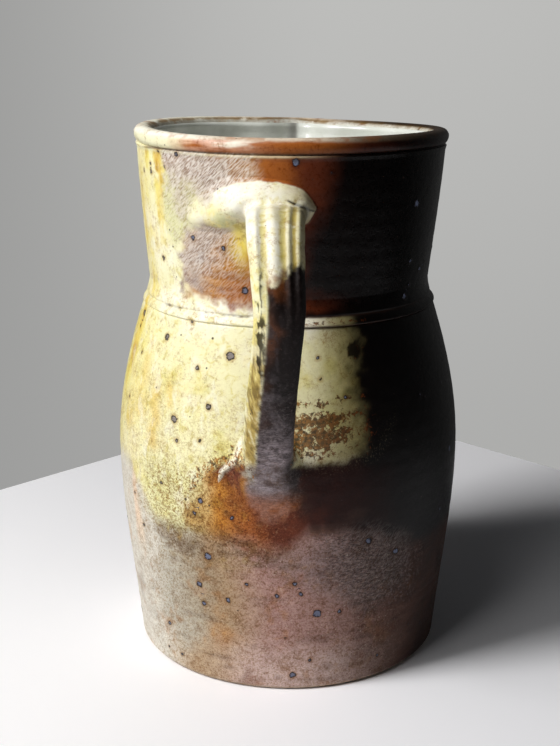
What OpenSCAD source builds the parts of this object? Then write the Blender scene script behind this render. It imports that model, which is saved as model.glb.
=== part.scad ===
// Wood-fired stoneware pouring jug: a thrown belly and a thrown collar luted at the waist,
// a pulled strap handle with the clay that joins it on, and a glaze that lines the inside.
// The origin is the centre of the foot face, +Z is up, the handle is at -Y and the lip at +Y.

/* [Overall] */
// Height from the foot face to the crest of the rim
jug_h = 250; // [235:1:270]

/* [Belly] */
// Diameter of the foot, just above its bevel
foot_d = 148.6; // [138:0.2:158]
// Height and depth of the bevel cut round the foot
foot_bevel = 2.2; // [1:0.1:4]
// Widest diameter of the belly
belly_d = 165.6; // [156:0.2:176]
// Height of the widest place on the belly
belly_z = 98; // [86:1:108]
// Diameter of the belly's top edge, where the collar is luted on
shoulder_d = 138.4; // [132:0.2:145]
// Height of the joint between belly and collar
waist_z = 169.6; // [160:0.2:176]
// Thickness of the belly's wall
belly_wall = 7.5; // [5:0.1:10]
// Thickness of the floor
floor_t = 9; // [6:0.5:14]
// Radius inside, where the floor turns up into the wall
heel_r = 18; // [10:0.5:26]
// Height of one throwing ring on the inside
ring_pitch = 12; // [8:0.5:18]
// Depth of the throwing rings on the inside
ring_depth = 0.5; // [0.1:0.1:1]

/* [Collar] */
// Diameter of the ledge round the collar's foot
ledge_d = 140; // [139:0.2:150]
// Height of the tooled band between the two lines at the waist
band_h = 4.2; // [3:0.1:6]
// Diameter at the bottom of the upper tooled line
line_d = 134.6; // [128:0.2:137]
// Narrowest diameter of the neck
neck_d = 132.8; // [126:0.2:136]
// Height of the narrowest place above the joint
neck_rise = 11.4; // [9:0.2:18]
// Diameter of the neck just under the rim
mouth_d = 143.6; // [138:0.2:150]
// Thickness of the collar's wall
collar_wall = 7.5; // [5:0.1:9]
// Diameter over the rolled rim
rim_d = 145.6; // [141:0.2:152]
// Height of the rolled rim
rim_h = 6.8; // [5:0.1:9]
// Thickness of the rolled rim
rim_t = 9.1; // [8:0.1:11]
// Height of the small bead under the rim
bead_h = 1.4; // [0.8:0.1:2.5]
// How far the small bead stands proud of the neck
bead_out = 0.5; // [0.2:0.1:1]
// How far the rim leans to the side, away from the centre of the foot
rim_lean = 1.4; // [0:0.1:3]
// How much one side of the rim stands higher than the middle
rim_tilt = 1; // [0:0.1:3]
// How much the rim rises and falls, twice round
rim_wave = 0.7; // [0:0.1:1.5]

/* [Pouring lip] */
// How far the lip is pulled out beyond the rim
lip_reach = 8; // [4:0.5:12]
// Width of the lip where it leaves the rim
lip_w = 24; // [18:0.5:34]
// How far the lip's tip dips below the rim
lip_drop = 0.3; // [0:0.1:3]
// Height of the throat that runs down the neck from the lip
throat_h = 42; // [30:1:55]

/* [Handle] */
// Height of the strap's centre where it leaves the neck
handle_top_z = 217; // [205:0.5:224]
// Height of the strap's centre where it meets the belly
handle_foot_z = 112; // [100:0.5:124]
// How far the strap's centre stands out from the wall
handle_reach = 39.4; // [32:0.2:48]
// Sideways place of the strap's foot
handle_foot_x = -3.6; // [-6:0.2:6]
// How far the strap bows sideways between its ends
handle_bow = 4.8; // [-6:0.2:6]
// Width of the strap at its top
strap_top_w = 25.4; // [20:0.2:30]
// Width of the strap along its length
strap_w = 20.6; // [17:0.2:26]
// Width of the strap at its foot
strap_foot_w = 22.4; // [17:0.2:28]
// Thickness of the strap
strap_t = 9.4; // [7:0.1:12]
// Depth of the finger flutes near the top of the strap
flute_depth = 1.5; // [0.5:0.1:2.2]
// Depth of the bevel down one side of the strap
bevel_depth = 2.6; // [0.5:0.1:3.2]

/* [Joining clay] */
// Height of the coil above the strap's root
coil_h = 11; // [6:0.5:13]
// How far the coil stands out from the neck
coil_out = 7.6; // [4:0.2:10]
// Height of the smeared fan below the strap's foot
fan_h = 12; // [6:0.5:18]
// How far the fan stands out from the belly
fan_out = 4.6; // [2:0.2:6]

/* [Glaze and fits] */
// Thickness of the liner glaze
liner_t = 0.5; // [0.4:0.05:0.8]
// Gap between the liner glaze and the clay
coat_gap = 0.05; // [0.03:0.01:0.1]
// Gap between pieces of clay that are luted together
slip_gap = 0.12; // [0.08:0.02:0.3]

/* [Hidden] */

foot_r = foot_d / 2;
belly_r = belly_d / 2;
shoulder_r = shoulder_d / 2;
ledge_r = ledge_d / 2;
line_r = line_d / 2;
neck_r = neck_d / 2;
mouth_r = mouth_d / 2;
rim_r = rim_d / 2;
neck_z = waist_z + neck_rise;
groove_z = jug_h - rim_h;

// How steeply each outline leaves and meets its ends, against its straight chord
foot_slope_share = 0.95;
shoulder_slope_share = 1.75;
neck_slope_share = 1.1;
mouth_slope_share = 0.55;

// Steps along each outline
foot_steps = 12;
shoulder_steps = 12;
ring_steps = 6;
heel_steps = 8;
neck_steps = 7;
throat_steps = 9;
sides = 72;

// The band at the waist: shares of the way in from the ledge to the line, and of its own height
band_shares = [[0, 0.11], [0.05, 0.33], [0.8, 0.89], [1, 1]];
// The neck just above the line: shares of the way to its narrowest place, across and upwards
line_shares = [[-0.5, 0.08], [0.6, 0.6]];
// The bead under the rim: shares of how far it stands out, and of its height below the rim
bead_shares = [[0, 2], [0.6, 1], [1, 0.5]];
bead_groove_share = 0.2;

// The rolled rim: where its round centre lies across its thickness, the arc that it turns, how
// far below its centre its inner side ends, and where round the mouth its wave is highest
rim_centre_share = 0.42;
rim_arc = [-50, -27, -5, 18, 42, 66, 90, 116, 142, 165, 180];
rim_inner_share = 0.2;
rim_wave_turn = 48;

// How much closer together the facets are at the lip than elsewhere
lip_crowd_share = 0.45;
// Shape of the lip: how fast it fades down the throat, and the pinch on each side of it
throat_power = 1.7;
pinch_share = 0.14;
pinch_place_share = 0.95;
pinch_width_share = 0.42;

// Two shallow lines left by the turning tool low on the belly
turning_line_z = [31, 36.5];
turning_line_depth = 0.3;
turning_line_w = 1.2;

// Route of the strap's centre: shares out from the wall, down between the roots, and of the bow
route_shares = [
  [0, 0, 0], [0.27, -0.017, 0.04], [0.58, -0.012, 0.14], [0.85, 0.052, 0.4], [0.98, 0.165, 0.73],
  [1, 0.305, 1], [0.9, 0.467, 0.8], [0.72, 0.629, 0.54], [0.485, 0.771, 0.26], [0.23, 0.9, 0.1],
  [0, 1, 0]
];
// Where the rings nearest the two roots stand along the route
first_ring_share = 0.045;
last_ring_share = 0.915;
strap_rings = 29;
// How far apart the route is read for its direction, and passes that slide a root onto its wall
probe_share = 0.01;
root_passes = 6;
// Places across the strap's outer face, with 1 on a ridge and -1 in a flute
flute_shares = [
  [-0.94, 0], [-0.72, 1], [-0.59, 0], [-0.46, -1], [-0.31, 0], [-0.16, 1], [0.02, 0], [0.2, -1],
  [0.31, 0], [0.42, 1], [0.52, 0], [0.62, -1], [0.71, 0], [0.8, 1], [0.94, 0]
];
// How square the strap's section is, and where its side bevel begins
strap_power = 4;
bevel_start_share = 0.43;
// Shares of the route where the strap is narrowest, and where its flutes and bevel begin and end
narrow_share = 0.62;
flute_start_share = 0.12;
flute_fade_share = 0.35;
flute_end_share = 0.58;
bevel_begin_share = 0.3;
bevel_full_share = 0.5;

// The coil from its tip to its other end. Its inner edge is in half-widths of the strap and
// half-heights of its root, its outer edge in half-widths of the strap and, above the root, in
// shares of the coil's height, and last comes the share of the coil's full thickness there
coil_shares = [
  [[-2.95, 0.05], [-3.0, -0.35], 0.12],
  [[-2.4, -0.15], [-2.65, 0.1], 0.42],
  [[-1.8, -0.45], [-2.2, 0.5], 0.66],
  [[-1.3, -0.35], [-1.75, 0.78], 0.85],
  [[-1.05, 0.25], [-1.25, 0.94], 0.96],
  [[-0.9, 0.8], [-0.75, 1], 1],
  [[-0.4, 1.06], [-0.3, 0.98], 1],
  [[0.3, 1.06], [0.35, 0.86], 0.98],
  [[0.84, 0.86], [0.88, 0.56], 0.9],
  [[1.06, 0.45], [1.26, -0.05], 0.55]
];
// The same for the fan below the strap's foot, its outer edge a share of the fan's height below
fan_shares = [
  [[-1.06, 0.9], [-1.2, -1.5], 0.15],
  [[-1.08, 0.35], [-1.6, -0.85], 0.5],
  [[-1.04, -0.2], [-2.0, -0.2], 0.8],
  [[-0.93, -0.68], [-1.75, 0.4], 0.95],
  [[-0.55, -1.04], [-0.75, 0.8], 1],
  [[0, -1.08], [0, 1], 1],
  [[0.55, -1.04], [0.6, 0.7], 1],
  [[0.93, -0.68], [1.1, 0.25], 0.9],
  [[1.05, -0.2], [1.4, -0.25], 0.65],
  [[1.08, 0.3], [1.3, -0.75], 0.3]
];
clay_steps = 3;
// Points across the joining clay: place from the inner to the outer edge, and share of thickness
clay_section_shares = [
  [0, 0], [0.06, 0.5], [0.16, 0.84], [0.32, 1], [0.5, 0.95], [0.68, 0.74], [0.84, 0.4], [1, 0]
];
// How the clay's inner edge leans against the slope of the strap's own root
coil_open_share = 0.08;
fan_lean_share = 0.85;

function lerp(a, b, t) = a + (b - a) * t;
function clamp01(t) = max(0, min(1, t));
function smooth(t) = let (c = clamp01(t)) c * c * (3 - 2 * c);

// Radius at height z on a curve between two places, with its end slopes as shares of the chord's
function curve_r(z0, r0, slope0, z1, r1, slope1, z) =
  let (u = (z - z0) / (z1 - z0), rise = r1 - r0)
  r0 + rise * (u * u * (3 - 2 * u) + slope0 * u * (1 - u) * (1 - u) - slope1 * u * u * (1 - u));

function belly_out_r(z) =
  z < belly_z
  ? curve_r(foot_bevel, foot_r, foot_slope_share, belly_z, belly_r, 0, z)
  : curve_r(belly_z, belly_r, 0, waist_z, shoulder_r, shoulder_slope_share, z);

function belly_in_r(z) = belly_out_r(z) - belly_wall + ring_depth * ring_wave(z);
function ring_wave(z) = sin(360 * (waist_z - z) / ring_pitch) * smooth((waist_z - z) / ring_pitch);

function neck_out_r(z) =
  curve_r(neck_z, neck_r, neck_slope_share, groove_z, mouth_r, mouth_slope_share, z);

function collar_in_r(z) =
  z < neck_z
  ? curve_r(waist_z, belly_in_r(waist_z), 1, neck_z, neck_r - collar_wall, 0, z)
  : neck_out_r(z) - collar_wall;

// Belly

function turning_lines() = [
  for (z = turning_line_z)
    for (side = [-1, 0, 1])
      [belly_out_r(z + side * turning_line_w / 2) - (side == 0 ? turning_line_depth : 0),
       z + side * turning_line_w / 2]
];

function lines_top() = turning_line_z[len(turning_line_z) - 1] + turning_line_w;

function belly_outside() = concat(
  [[foot_r - foot_bevel, 0], [foot_r, foot_bevel]],
  [[belly_out_r(turning_line_z[0] / 2), turning_line_z[0] / 2]],
  turning_lines(),
  [for (i = [0:foot_steps - 1])
    let (z = lerp(lines_top(), belly_z, i / foot_steps)) [belly_out_r(z), z]],
  [for (i = [0:shoulder_steps])
    let (z = lerp(belly_z, waist_z, i / shoulder_steps)) [belly_out_r(z), z]]
);

// The inside from the waist down to the floor, moved inwards by an offset
heel_top = floor_t + heel_r;
inside_steps = ceil((waist_z - heel_top) / ring_pitch * ring_steps);
function belly_inside(inset) = concat(
  [for (i = [0:inside_steps])
    let (z = lerp(waist_z - min(inset, coat_gap), heel_top, i / inside_steps))
    [belly_in_r(z) - inset, z]],
  [for (i = [1:heel_steps])
    let (a = 90 * i / heel_steps)
    [belly_in_r(heel_top) - heel_r + (heel_r - inset) * cos(a),
     heel_top - (heel_r - inset) * sin(a)]],
  [[0, floor_t + inset]]
);

function reversed(list) = [for (i = [len(list) - 1:-1:0]) list[i]];

// Collar

rim_centre_r = rim_r - rim_centre_share * rim_t;
rim_centre_z = jug_h - rim_h / 2;
rim_in_r = rim_r - rim_t;
rim_low_half = rim_h / 2 / sin(-rim_arc[0]);

function rim_roll() = [
  for (a = rim_arc)
    [rim_centre_r + cos(a) * (a < 90 ? rim_r - rim_centre_r : rim_centre_r - rim_in_r),
     rim_centre_z + sin(a) * (a < 0 ? rim_low_half : rim_h / 2)]
];

line_z = waist_z + band_h;
bead_low_z = groove_z - bead_shares[0][1] * bead_h;
function collar_outside() = concat(
  [[shoulder_r, waist_z]],
  [for (b = band_shares) [lerp(ledge_r, line_r, b[0]), waist_z + band_h * b[1]]],
  [for (b = line_shares) [lerp(line_r, neck_r, b[0]), lerp(line_z, neck_z, b[1])]],
  [for (i = [0:neck_steps - 1])
    let (z = lerp(neck_z, bead_low_z, i / neck_steps)) [neck_out_r(z), z]],
  [for (b = bead_shares)
    let (z = groove_z - b[1] * bead_h) [neck_out_r(z) + b[0] * bead_out, z]],
  [[rim_roll()[0][0] - bead_out, groove_z - bead_groove_share * bead_h]],
  rim_roll()
);

function collar_inside(inset) = concat(
  [[rim_in_r - inset, rim_centre_z - rim_inner_share * rim_h]],
  [for (i = [0:throat_steps])
    let (z = lerp(groove_z, waist_z, i / throat_steps)) [collar_in_r(z) - inset, z]]
);

// The lip pulls the wall outwards, most at the rim and less down the throat
function throat_fade(z) = pow(clamp01((z - jug_h + throat_h) / throat_h), throat_power);
function lip_bump(across) =
  let (beside = abs(across) - pinch_place_share * lip_w)
  exp(-pow(2 * across / lip_w, 2))
  - pinch_share * exp(-pow(beside / (pinch_width_share * lip_w), 2));
function rim_part(z) = clamp01((z - waist_z) / (jug_h - waist_z));

function collar_point(angle, r, z) =
  let (
    across = rim_r * (angle - 90) * PI / 180,
    pull = lip_bump(across) * throat_fade(z),
    out = r + lip_reach * pull,
    lean = rim_lean * rim_part(z),
    rise = rim_wave * cos(2 * angle + rim_wave_turn) - rim_tilt * cos(angle)
  )
  [out * cos(angle) + lean, out * sin(angle),
   z + rise * rim_part(z) * rim_part(z) - lip_drop * max(0, pull)];

// Angles round the collar from the handle's side, closer together at the lip
function facet_angle(i) =
  let (turn = 360 * i / sides - 180) 90 + turn - lip_crowd_share * sin(turn) * 180 / PI;

// A closed ring of facets made by turning a closed profile
module turned_shell(profile) {
  n = len(profile);
  points = [for (i = [0:sides - 1]) for (p = profile) collar_point(facet_angle(i), p[0], p[1])];
  faces = [
    for (i = [0:sides - 1])
      for (k = [0:n - 1])
        let (
          k2 = (k + 1) % n,
          a = i * n + k,
          a2 = i * n + k2,
          b = (i + 1) % sides * n + k,
          b2 = (i + 1) % sides * n + k2,
          falls = profile[k][1] > profile[k2][1]
        )
        for (face = falls ? [[a, a2, b2], [a, b2, b]] : [[a, a2, b], [a2, b2, b]]) face
  ];
  polyhedron(points = points, faces = faces);
}

// Walls that the strap and its joining clay sit on: how far out they are at x, z

function lean_at(z) = rim_lean * rim_part(z);
function neck_wall(x, z) =
  sqrt(pow(neck_out_r(z) + slip_gap, 2) - pow(x - lean_at(z), 2));
function belly_wall_y(x, z) = sqrt(pow(belly_out_r(z) + slip_gap, 2) - pow(x, 2));

// Strap, in places [x, out, z] where out is measured from the jug's axis towards the handle

root_top_out = neck_wall(0, handle_top_z);
root_foot_out = belly_wall_y(handle_foot_x, handle_foot_z);
route = [
  for (p = route_shares)
    [handle_foot_x * p[1] + handle_bow * p[2],
     lerp(root_top_out, root_foot_out, clamp01(p[1])) + handle_reach * p[0],
     lerp(handle_top_z, handle_foot_z, p[1])]
];

// A point on the smooth curve through a list of places, at a share of the way along
function along(list, share) =
  let (
    last = len(list) - 1,
    at = clamp01(share) * last,
    i = min(floor(at), last - 1),
    t = at - i,
    p1 = list[i],
    p2 = list[i + 1],
    p0 = i > 0 ? list[i - 1] : 2 * p1 - p2,
    p3 = i + 2 <= last ? list[i + 2] : 2 * p2 - p1
  )
  p1 + (p2 - p0) * t / 2 + (2 * p0 - 5 * p1 + 4 * p2 - p3) * t * t / 2
  + (3 * p1 - p0 - 3 * p2 + p3) * t * t * t / 2;

function route_dir(share) =
  let (
    a = along(route, max(0, share - probe_share)),
    b = along(route, min(1, share + probe_share)),
    d = [b[1] - a[1], b[2] - a[2]]
  )
  d / norm(d);

function strap_half_w(share) =
  share < narrow_share
  ? lerp(strap_top_w, strap_w, smooth(share / narrow_share)) / 2
  : lerp(strap_w, strap_foot_w, smooth((share - narrow_share) / (1 - narrow_share))) / 2;
function flute_part(share) =
  smooth(share / flute_start_share)
  * (1 - smooth((share - flute_fade_share) / (flute_end_share - flute_fade_share)));
function bevel_part(share) =
  smooth((share - bevel_begin_share) / (bevel_full_share - bevel_begin_share))
  * (1 - smooth((share - last_ring_share) / (1 - last_ring_share)));

function section_half(x) = strap_t / 2 * sqrt(1 - pow(abs(x), strap_power));
function outer_face(x, ridge, share) =
  section_half(x) + flute_depth / 2 * ridge * flute_part(share)
  - bevel_depth * bevel_part(share) * max(0, -x - bevel_start_share) / (1 - bevel_start_share);

// Section of the strap at a share of its route: places across it, with their height from its centre
function strap_section(share) = concat(
  [[-1, -bevel_depth * bevel_part(share) / 2]],
  [for (f = flute_shares) [f[0], outer_face(f[0], f[1], share)]],
  [[1, 0]],
  [for (f = reversed(flute_shares)) [f[0], -section_half(f[0])]]
);

function strap_ring(share) =
  let (c = along(route, share), d = route_dir(share), w = strap_half_w(share))
  [for (p = strap_section(share)) [c[0] + w * p[0], c[1] - d[1] * p[1], c[2] + d[0] * p[1]]];

// A point slid along a direction until it lies on the wall of the neck or of the belly
function wall_out(at_neck, x, z) = at_neck ? neck_wall(x, z) : belly_wall_y(x, z);
function slid(p, d, at_neck, passes, step) =
  passes == 0
  ? [p[0], p[1] + d[0] * step, p[2] + d[1] * step]
  : slid(p, d, at_neck, passes - 1, (wall_out(at_neck, p[0], p[2] + d[1] * step) - p[1]) / d[0]);

function root_ring(share, at_neck) =
  [for (p = strap_ring(share)) slid(p, route_dir(share), at_neck, root_passes, 0)];

// The middle of a root's end face, from one side to the other, so that it follows the wall
function root_middle(share, at_neck) =
  let (ring = strap_ring(share), n = len(ring))
  [for (k = [1:n / 2 - 1])
    slid((ring[k] + ring[n - k]) / 2, route_dir(share), at_neck, root_passes, 0)];

function strap_rings_all() = concat(
  [root_ring(0, true)],
  [for (i = [0:strap_rings - 1])
    strap_ring(lerp(first_ring_share, last_ring_share, i / (strap_rings - 1)))],
  [root_ring(1, false)]
);

function to_frame(p) = [p[0], -p[1], p[2]];

// A closed solid through rings of points, each ring an upper side and a lower side in step,
// whose end faces may be given a middle line of their own
module ringed_solid(rings, start_middle = [], end_middle = []) {
  n = len(rings[0]);
  last = (len(rings) - 1) * n;
  points = [for (p = concat([for (ring = rings) each ring], start_middle, end_middle)) to_frame(p)];
  side_faces = [
    for (i = [0:len(rings) - 2])
      for (k = [0:n - 1])
        let (k2 = (k + 1) % n, a = i * n, b = (i + 1) * n)
        for (face = [[a + k, b + k2, a + k2], [a + k, b + k, b + k2]]) face
  ];
  start_cap = cap_faces(0, n, last + n, len(start_middle));
  end_cap = cap_faces(last, n, last + n + len(start_middle), len(end_middle));
  polyhedron(points = points, faces = concat(
    side_faces, start_cap, [for (face = end_cap) [face[0], face[2], face[1]]]));
}

// Faces that close a ring, in strips between its two sides or between each side and a middle line
function cap_faces(first, n, middle, middle_count) =
  let (half = n / 2)
  [for (k = [0:half - 1])
    let (
      upper = first + k,
      upper2 = first + k + 1,
      lower = first + (n - k) % n,
      lower2 = first + n - k - 1,
      mid = k == 0 ? upper : middle + k - 1,
      mid2 = k == half - 1 ? upper2 : middle + k
    )
    each middle_count > 0
      ? concat(strip(upper, upper2, mid2, mid), strip(mid, mid2, lower2, lower))
      : strip(upper, upper2, lower2, lower)];

// Two triangles across four corners, or one where two of the corners are the same point
function strip(a, b, c, d) =
  concat(a == d ? [] : [[a, b, d]], b == c ? [] : [[b, c, d]]);

// Joining clay, laid on a wall round a root of the strap

function root_half_h(share) = strap_t / 2 / abs(route_dir(share)[0]);
top_half_h = root_half_h(0);
foot_half_h = root_half_h(1);
coil_lean = route_dir(0)[1] / route_dir(0)[0] + coil_open_share;
fan_lean = fan_lean_share * route_dir(1)[1] / route_dir(1)[0];

// A place on a wall: x and z there, moved outwards along the wall's own radius
function on_wall(at_neck, x, z, out) =
  let (
    r = (at_neck ? neck_out_r(z) : belly_out_r(z)) + slip_gap,
    centre = at_neck ? lean_at(z) : 0,
    turn = asin((x - centre) / r)
  )
  [centre + (r + out) * sin(turn), (r + out) * cos(turn), z];

function clay_ring(edges, thick, lean, at_neck) = let (
    last = len(clay_section_shares) - 1,
    front = [
      for (c = clay_section_shares)
        let (p = lerp(edges[0], edges[1], c[0]), out = thick * c[1])
        on_wall(at_neck, p[0], p[1] + lean * out * (1 - c[0]), out)
    ],
    back = [
      for (k = [last - 1:-1:1])
        let (p = lerp(edges[0], edges[1], clay_section_shares[k][0]))
        on_wall(at_neck, p[0], p[1], 0)
    ]
  )
  concat(front, back);

function clay_rings(table, edge_places, thick, lean, at_neck) =
  let (count = clay_steps * (len(table) - 1))
  [for (i = [0:count])
    let (row = along([for (t = table) edge_places(t)], i / count))
    clay_ring([[row[0], row[1]], [row[2], row[3]]], thick * row[4], lean, at_neck)];

coil_places = function (t) [
  t[0][0] * strap_top_w / 2,
  handle_top_z + t[0][1] * (top_half_h + slip_gap),
  t[1][0] * strap_top_w / 2,
  handle_top_z + top_half_h + t[1][1] * coil_h,
  t[2]
];
fan_places = function (t) [
  handle_foot_x + t[0][0] * strap_foot_w / 2,
  handle_foot_z + t[0][1] * (foot_half_h + slip_gap),
  handle_foot_x + t[1][0] * strap_foot_w / 2,
  handle_foot_z - foot_half_h - t[1][1] * fan_h,
  t[2]
];

module lower_body() {
  color("#8a5a3c")
    rotate_extrude($fn = 180)
      polygon(concat([[0, 0]], belly_outside(), belly_inside(0)));
}

module neck_collar() {
  color("#7a4a2c")
    turned_shell(concat(collar_outside(), collar_inside(0)));
}

module strap_handle() {
  color("#d9c98a")
    ringed_solid(reversed(strap_rings_all()), root_middle(1, false), root_middle(0, true));
}

module upper_joint_coil() {
  color("#ece3bd")
    ringed_solid(reversed(
      clay_rings(coil_shares, coil_places, coil_out, coil_lean, true)));
}

module lower_joint_wad() {
  color("#a58a7c")
    ringed_solid(clay_rings(fan_shares, fan_places, fan_out, fan_lean, false));
}

module liner_glaze() {
  color("#dcd9cf") {
    rotate_extrude($fn = 180)
      polygon(concat(belly_inside(coat_gap), reversed(belly_inside(coat_gap + liner_t))));
    turned_shell(concat(
      reversed(collar_inside(coat_gap)), collar_inside(coat_gap + liner_t)));
  }
}

lower_body();
neck_collar();
strap_handle();
upper_joint_coil();
lower_joint_wad();
liner_glaze();
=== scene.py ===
"""A wood-fired stoneware jug. The pot's walls, rim and lip are turned from the same outlines as the
frame, the strap and its joining clay are one blended form, and the glaze is painted on by place."""
import math
from types import SimpleNamespace

import bpy
import numpy as np
import openvdb
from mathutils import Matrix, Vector


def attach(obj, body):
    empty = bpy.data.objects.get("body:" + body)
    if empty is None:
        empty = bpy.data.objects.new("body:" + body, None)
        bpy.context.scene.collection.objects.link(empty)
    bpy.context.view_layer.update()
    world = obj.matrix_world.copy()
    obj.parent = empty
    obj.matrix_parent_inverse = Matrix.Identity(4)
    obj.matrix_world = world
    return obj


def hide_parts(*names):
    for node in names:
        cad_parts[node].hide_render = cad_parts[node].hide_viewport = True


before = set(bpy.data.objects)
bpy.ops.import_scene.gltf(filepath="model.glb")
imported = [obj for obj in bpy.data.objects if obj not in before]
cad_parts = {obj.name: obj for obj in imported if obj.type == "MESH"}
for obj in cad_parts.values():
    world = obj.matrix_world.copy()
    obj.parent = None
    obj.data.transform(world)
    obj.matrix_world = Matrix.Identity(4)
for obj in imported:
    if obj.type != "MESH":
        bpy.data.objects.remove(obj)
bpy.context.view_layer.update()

MM = 0.001

# Pot, in millimetres, as in the frame
JUG_H = 250
FOOT_R = 74.3
FOOT_BEVEL = 2.2
BELLY_R = 82.8
BELLY_Z = 98
SHOULDER_R = 69.2
WAIST_Z = 169.6
WALL = 7.5
FLOOR_T = 9
HEEL_R = 18
RING_PITCH = 12
RING_DEPTH = 0.5
LEDGE_R = 70
BAND_H = 4.2
LINE_R = 67.3
NECK_R = 66.4
NECK_Z = WAIST_Z + 11.4
MOUTH_R = 71.8
RIM_R = 72.8
RIM_H = 6.8
RIM_T = 9.1
BEAD_H = 1.4
BEAD_OUT = 0.5
RIM_LEAN = 1.4
RIM_TILT = 1
RIM_WAVE = 0.7
RIM_WAVE_TURN = 48
LIP_REACH = 8
LIP_W = 24
LIP_DROP = 0.3
THROAT_H = 42
LINER_T = 0.55
LINER_BACK = 0.1
FLOOR_RING_R = 36
GROOVE_Z = JUG_H - RIM_H
RIM_CENTRE_R = RIM_R - 0.42 * RIM_T
RIM_CENTRE_Z = JUG_H - RIM_H / 2

# Strap, in millimetres
STRAP_TOP_Z = 217
STRAP_FOOT_Z = 112
STRAP_REACH = 39.3
STRAP_FOOT_X = -3.6
STRAP_BOW = 4.8
STRAP_TOP_W = 25.4
STRAP_W = 20.6
STRAP_FOOT_W = 22.4
STRAP_T = 9.4
FLUTE_DEPTH = 1.4
FLUTE_SWAY = 0.06
BEVEL_DEPTH = 2.6
COIL_H = 11
COIL_OUT = 7.6
CLAY_SUNK = 3
STRAP_SUNK = 5
FAN_OUT = 3.2
FAN_MIDDLE = (-5, 107)
FAN_HALF = (17, 14)
FAN_RIDGE = ((-14.5, 124), (-17.5, 114.5), (-24, 107.5), (-26, 99))
FAN_RIDGE_OUT = 1.5
FAN_RIDGE_W = 1.4
COIL_CRACK = ((5, 225), (9, 223.6), (13, 221.6), (16, 219.8))

# Mesh counts
SIDES = 512
SKIN_ROWS = 150
COLLAR_ROWS = 96
LINER_SIDES = 288
STRAP_ROWS = 200
STRAP_SIDES = 96
COIL_ROWS = 60
VOXEL = 0.55

# How far the skin may stand in or out from the smooth outline
SKIN_INSET = 0.3
SKIN_MOST = 0.28
# Two scored lines low on the belly, and the pitch of the throwing ridges above them
SCORED_Z = (31, 36.5)
SCORED_W = 0.5
THROWING_PITCH = 7.5

# Camera, measured from the jug's axis towards the viewer
CAMERA_OUT = 571
CAMERA_H = 287
CAMERA_TURN = math.radians(4)
CAMERA_PITCH = math.radians(15.28)
CAMERA_SIDE = 3.9
FOCAL_PX = 1208
FRAME_PX = (560, 746)
SENSOR = 36
CAMERA_FAR = 50


# Number helpers

def lerp(a, b, t):
    return a + (b - a) * t


def smooth(t):
    c = np.clip(t, 0, 1)
    return c * c * (3 - 2 * c)


def rise(value, low, high):
    """0 at low and 1 at high, with a soft start and end; low may be above high"""
    return smooth((value - low) / (high - low))


def bump_at(value, centre, width):
    return np.exp(-((value - centre) / width) ** 2)


def hashed(x, y, z, seed):
    """A random number from 0 to 1 at each whole-number place"""
    h = x * np.uint32(374761393) + y * np.uint32(668265263) + z * np.uint32(2246822519)
    h = h + np.uint32(seed * 3266489917 & 0xFFFFFFFF)
    h = (h ^ (h >> np.uint32(15))) * np.uint32(2246822519)
    h = (h ^ (h >> np.uint32(13))) * np.uint32(3266489917)
    return (h ^ (h >> np.uint32(16))).astype(np.float32) / 4294967295


def value_noise(p, seed):
    """Smooth noise from -1 to 1 at points given in cells"""
    base = np.floor(p)
    f = (p - base).astype(np.float32)
    f = f * f * (3 - 2 * f)
    i = base.astype(np.int64).astype(np.uint32)
    total = np.zeros(len(p), np.float32)
    for dx in (0, 1):
        for dy in (0, 1):
            for dz in (0, 1):
                weight = ((f[:, 0] if dx else 1 - f[:, 0]) * (f[:, 1] if dy else 1 - f[:, 1])
                          * (f[:, 2] if dz else 1 - f[:, 2]))
                total += weight * hashed(i[:, 0] + np.uint32(dx), i[:, 1] + np.uint32(dy),
                                         i[:, 2] + np.uint32(dz), seed)
    return total * 2 - 1


def cloud(points, size, seed, octaves=4, stretch=(1, 1, 1)):
    """Layered noise, about -1 to 1, whose largest shapes are size across, drawn out by stretch"""
    p = np.asarray(points, np.float32) / (size * np.asarray(stretch, np.float32))
    total = np.zeros(len(p), np.float32)
    strength = 1.0
    for k in range(octaves):
        total += strength * value_noise(p * 2 ** k + 17.3 * k, seed + k)
        strength *= 0.55
    return total * 1.25 / sum(0.55 ** k for k in range(octaves))


# Outlines of the pot: radius at height z

def curve_r(z0, r0, slope0, z1, r1, slope1, z):
    u = (z - z0) / (z1 - z0)
    return r0 + (r1 - r0) * (u * u * (3 - 2 * u) + slope0 * u * (1 - u) ** 2
                             - slope1 * u * u * (1 - u))


def belly_r(z):
    low = curve_r(FOOT_BEVEL, FOOT_R, 0.95, BELLY_Z, BELLY_R, 0, z)
    high = curve_r(BELLY_Z, BELLY_R, 0, WAIST_Z, SHOULDER_R, 1.75, z)
    return np.where(z < BELLY_Z, low, high)


def neck_r(z):
    return curve_r(NECK_Z, NECK_R, 1.1, GROOVE_Z, MOUTH_R, 0.55, z)


def belly_in_r(z):
    wave = np.sin(2 * np.pi * (WAIST_Z - z) / RING_PITCH) * rise(WAIST_Z - z, 0, RING_PITCH)
    return belly_r(z) - WALL + RING_DEPTH * wave


def collar_in_r(z):
    waist_in = float(belly_in_r(WAIST_Z))
    low = curve_r(WAIST_Z, waist_in, 1, NECK_Z, NECK_R - WALL, 0, z)
    return np.where(z < NECK_Z, low, neck_r(z) - WALL)


def wall_r(z):
    """Radius of the whole outside, belly and collar"""
    band = lerp(LINE_R, NECK_R, 0.5)
    return np.where(z < WAIST_Z, belly_r(z), np.where(z < NECK_Z, band, neck_r(z)))


def lean_at(z):
    """How far the collar leans towards +X at a height"""
    return RIM_LEAN * np.clip((z - WAIST_Z) / (JUG_H - WAIST_Z), 0, 1)


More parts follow.
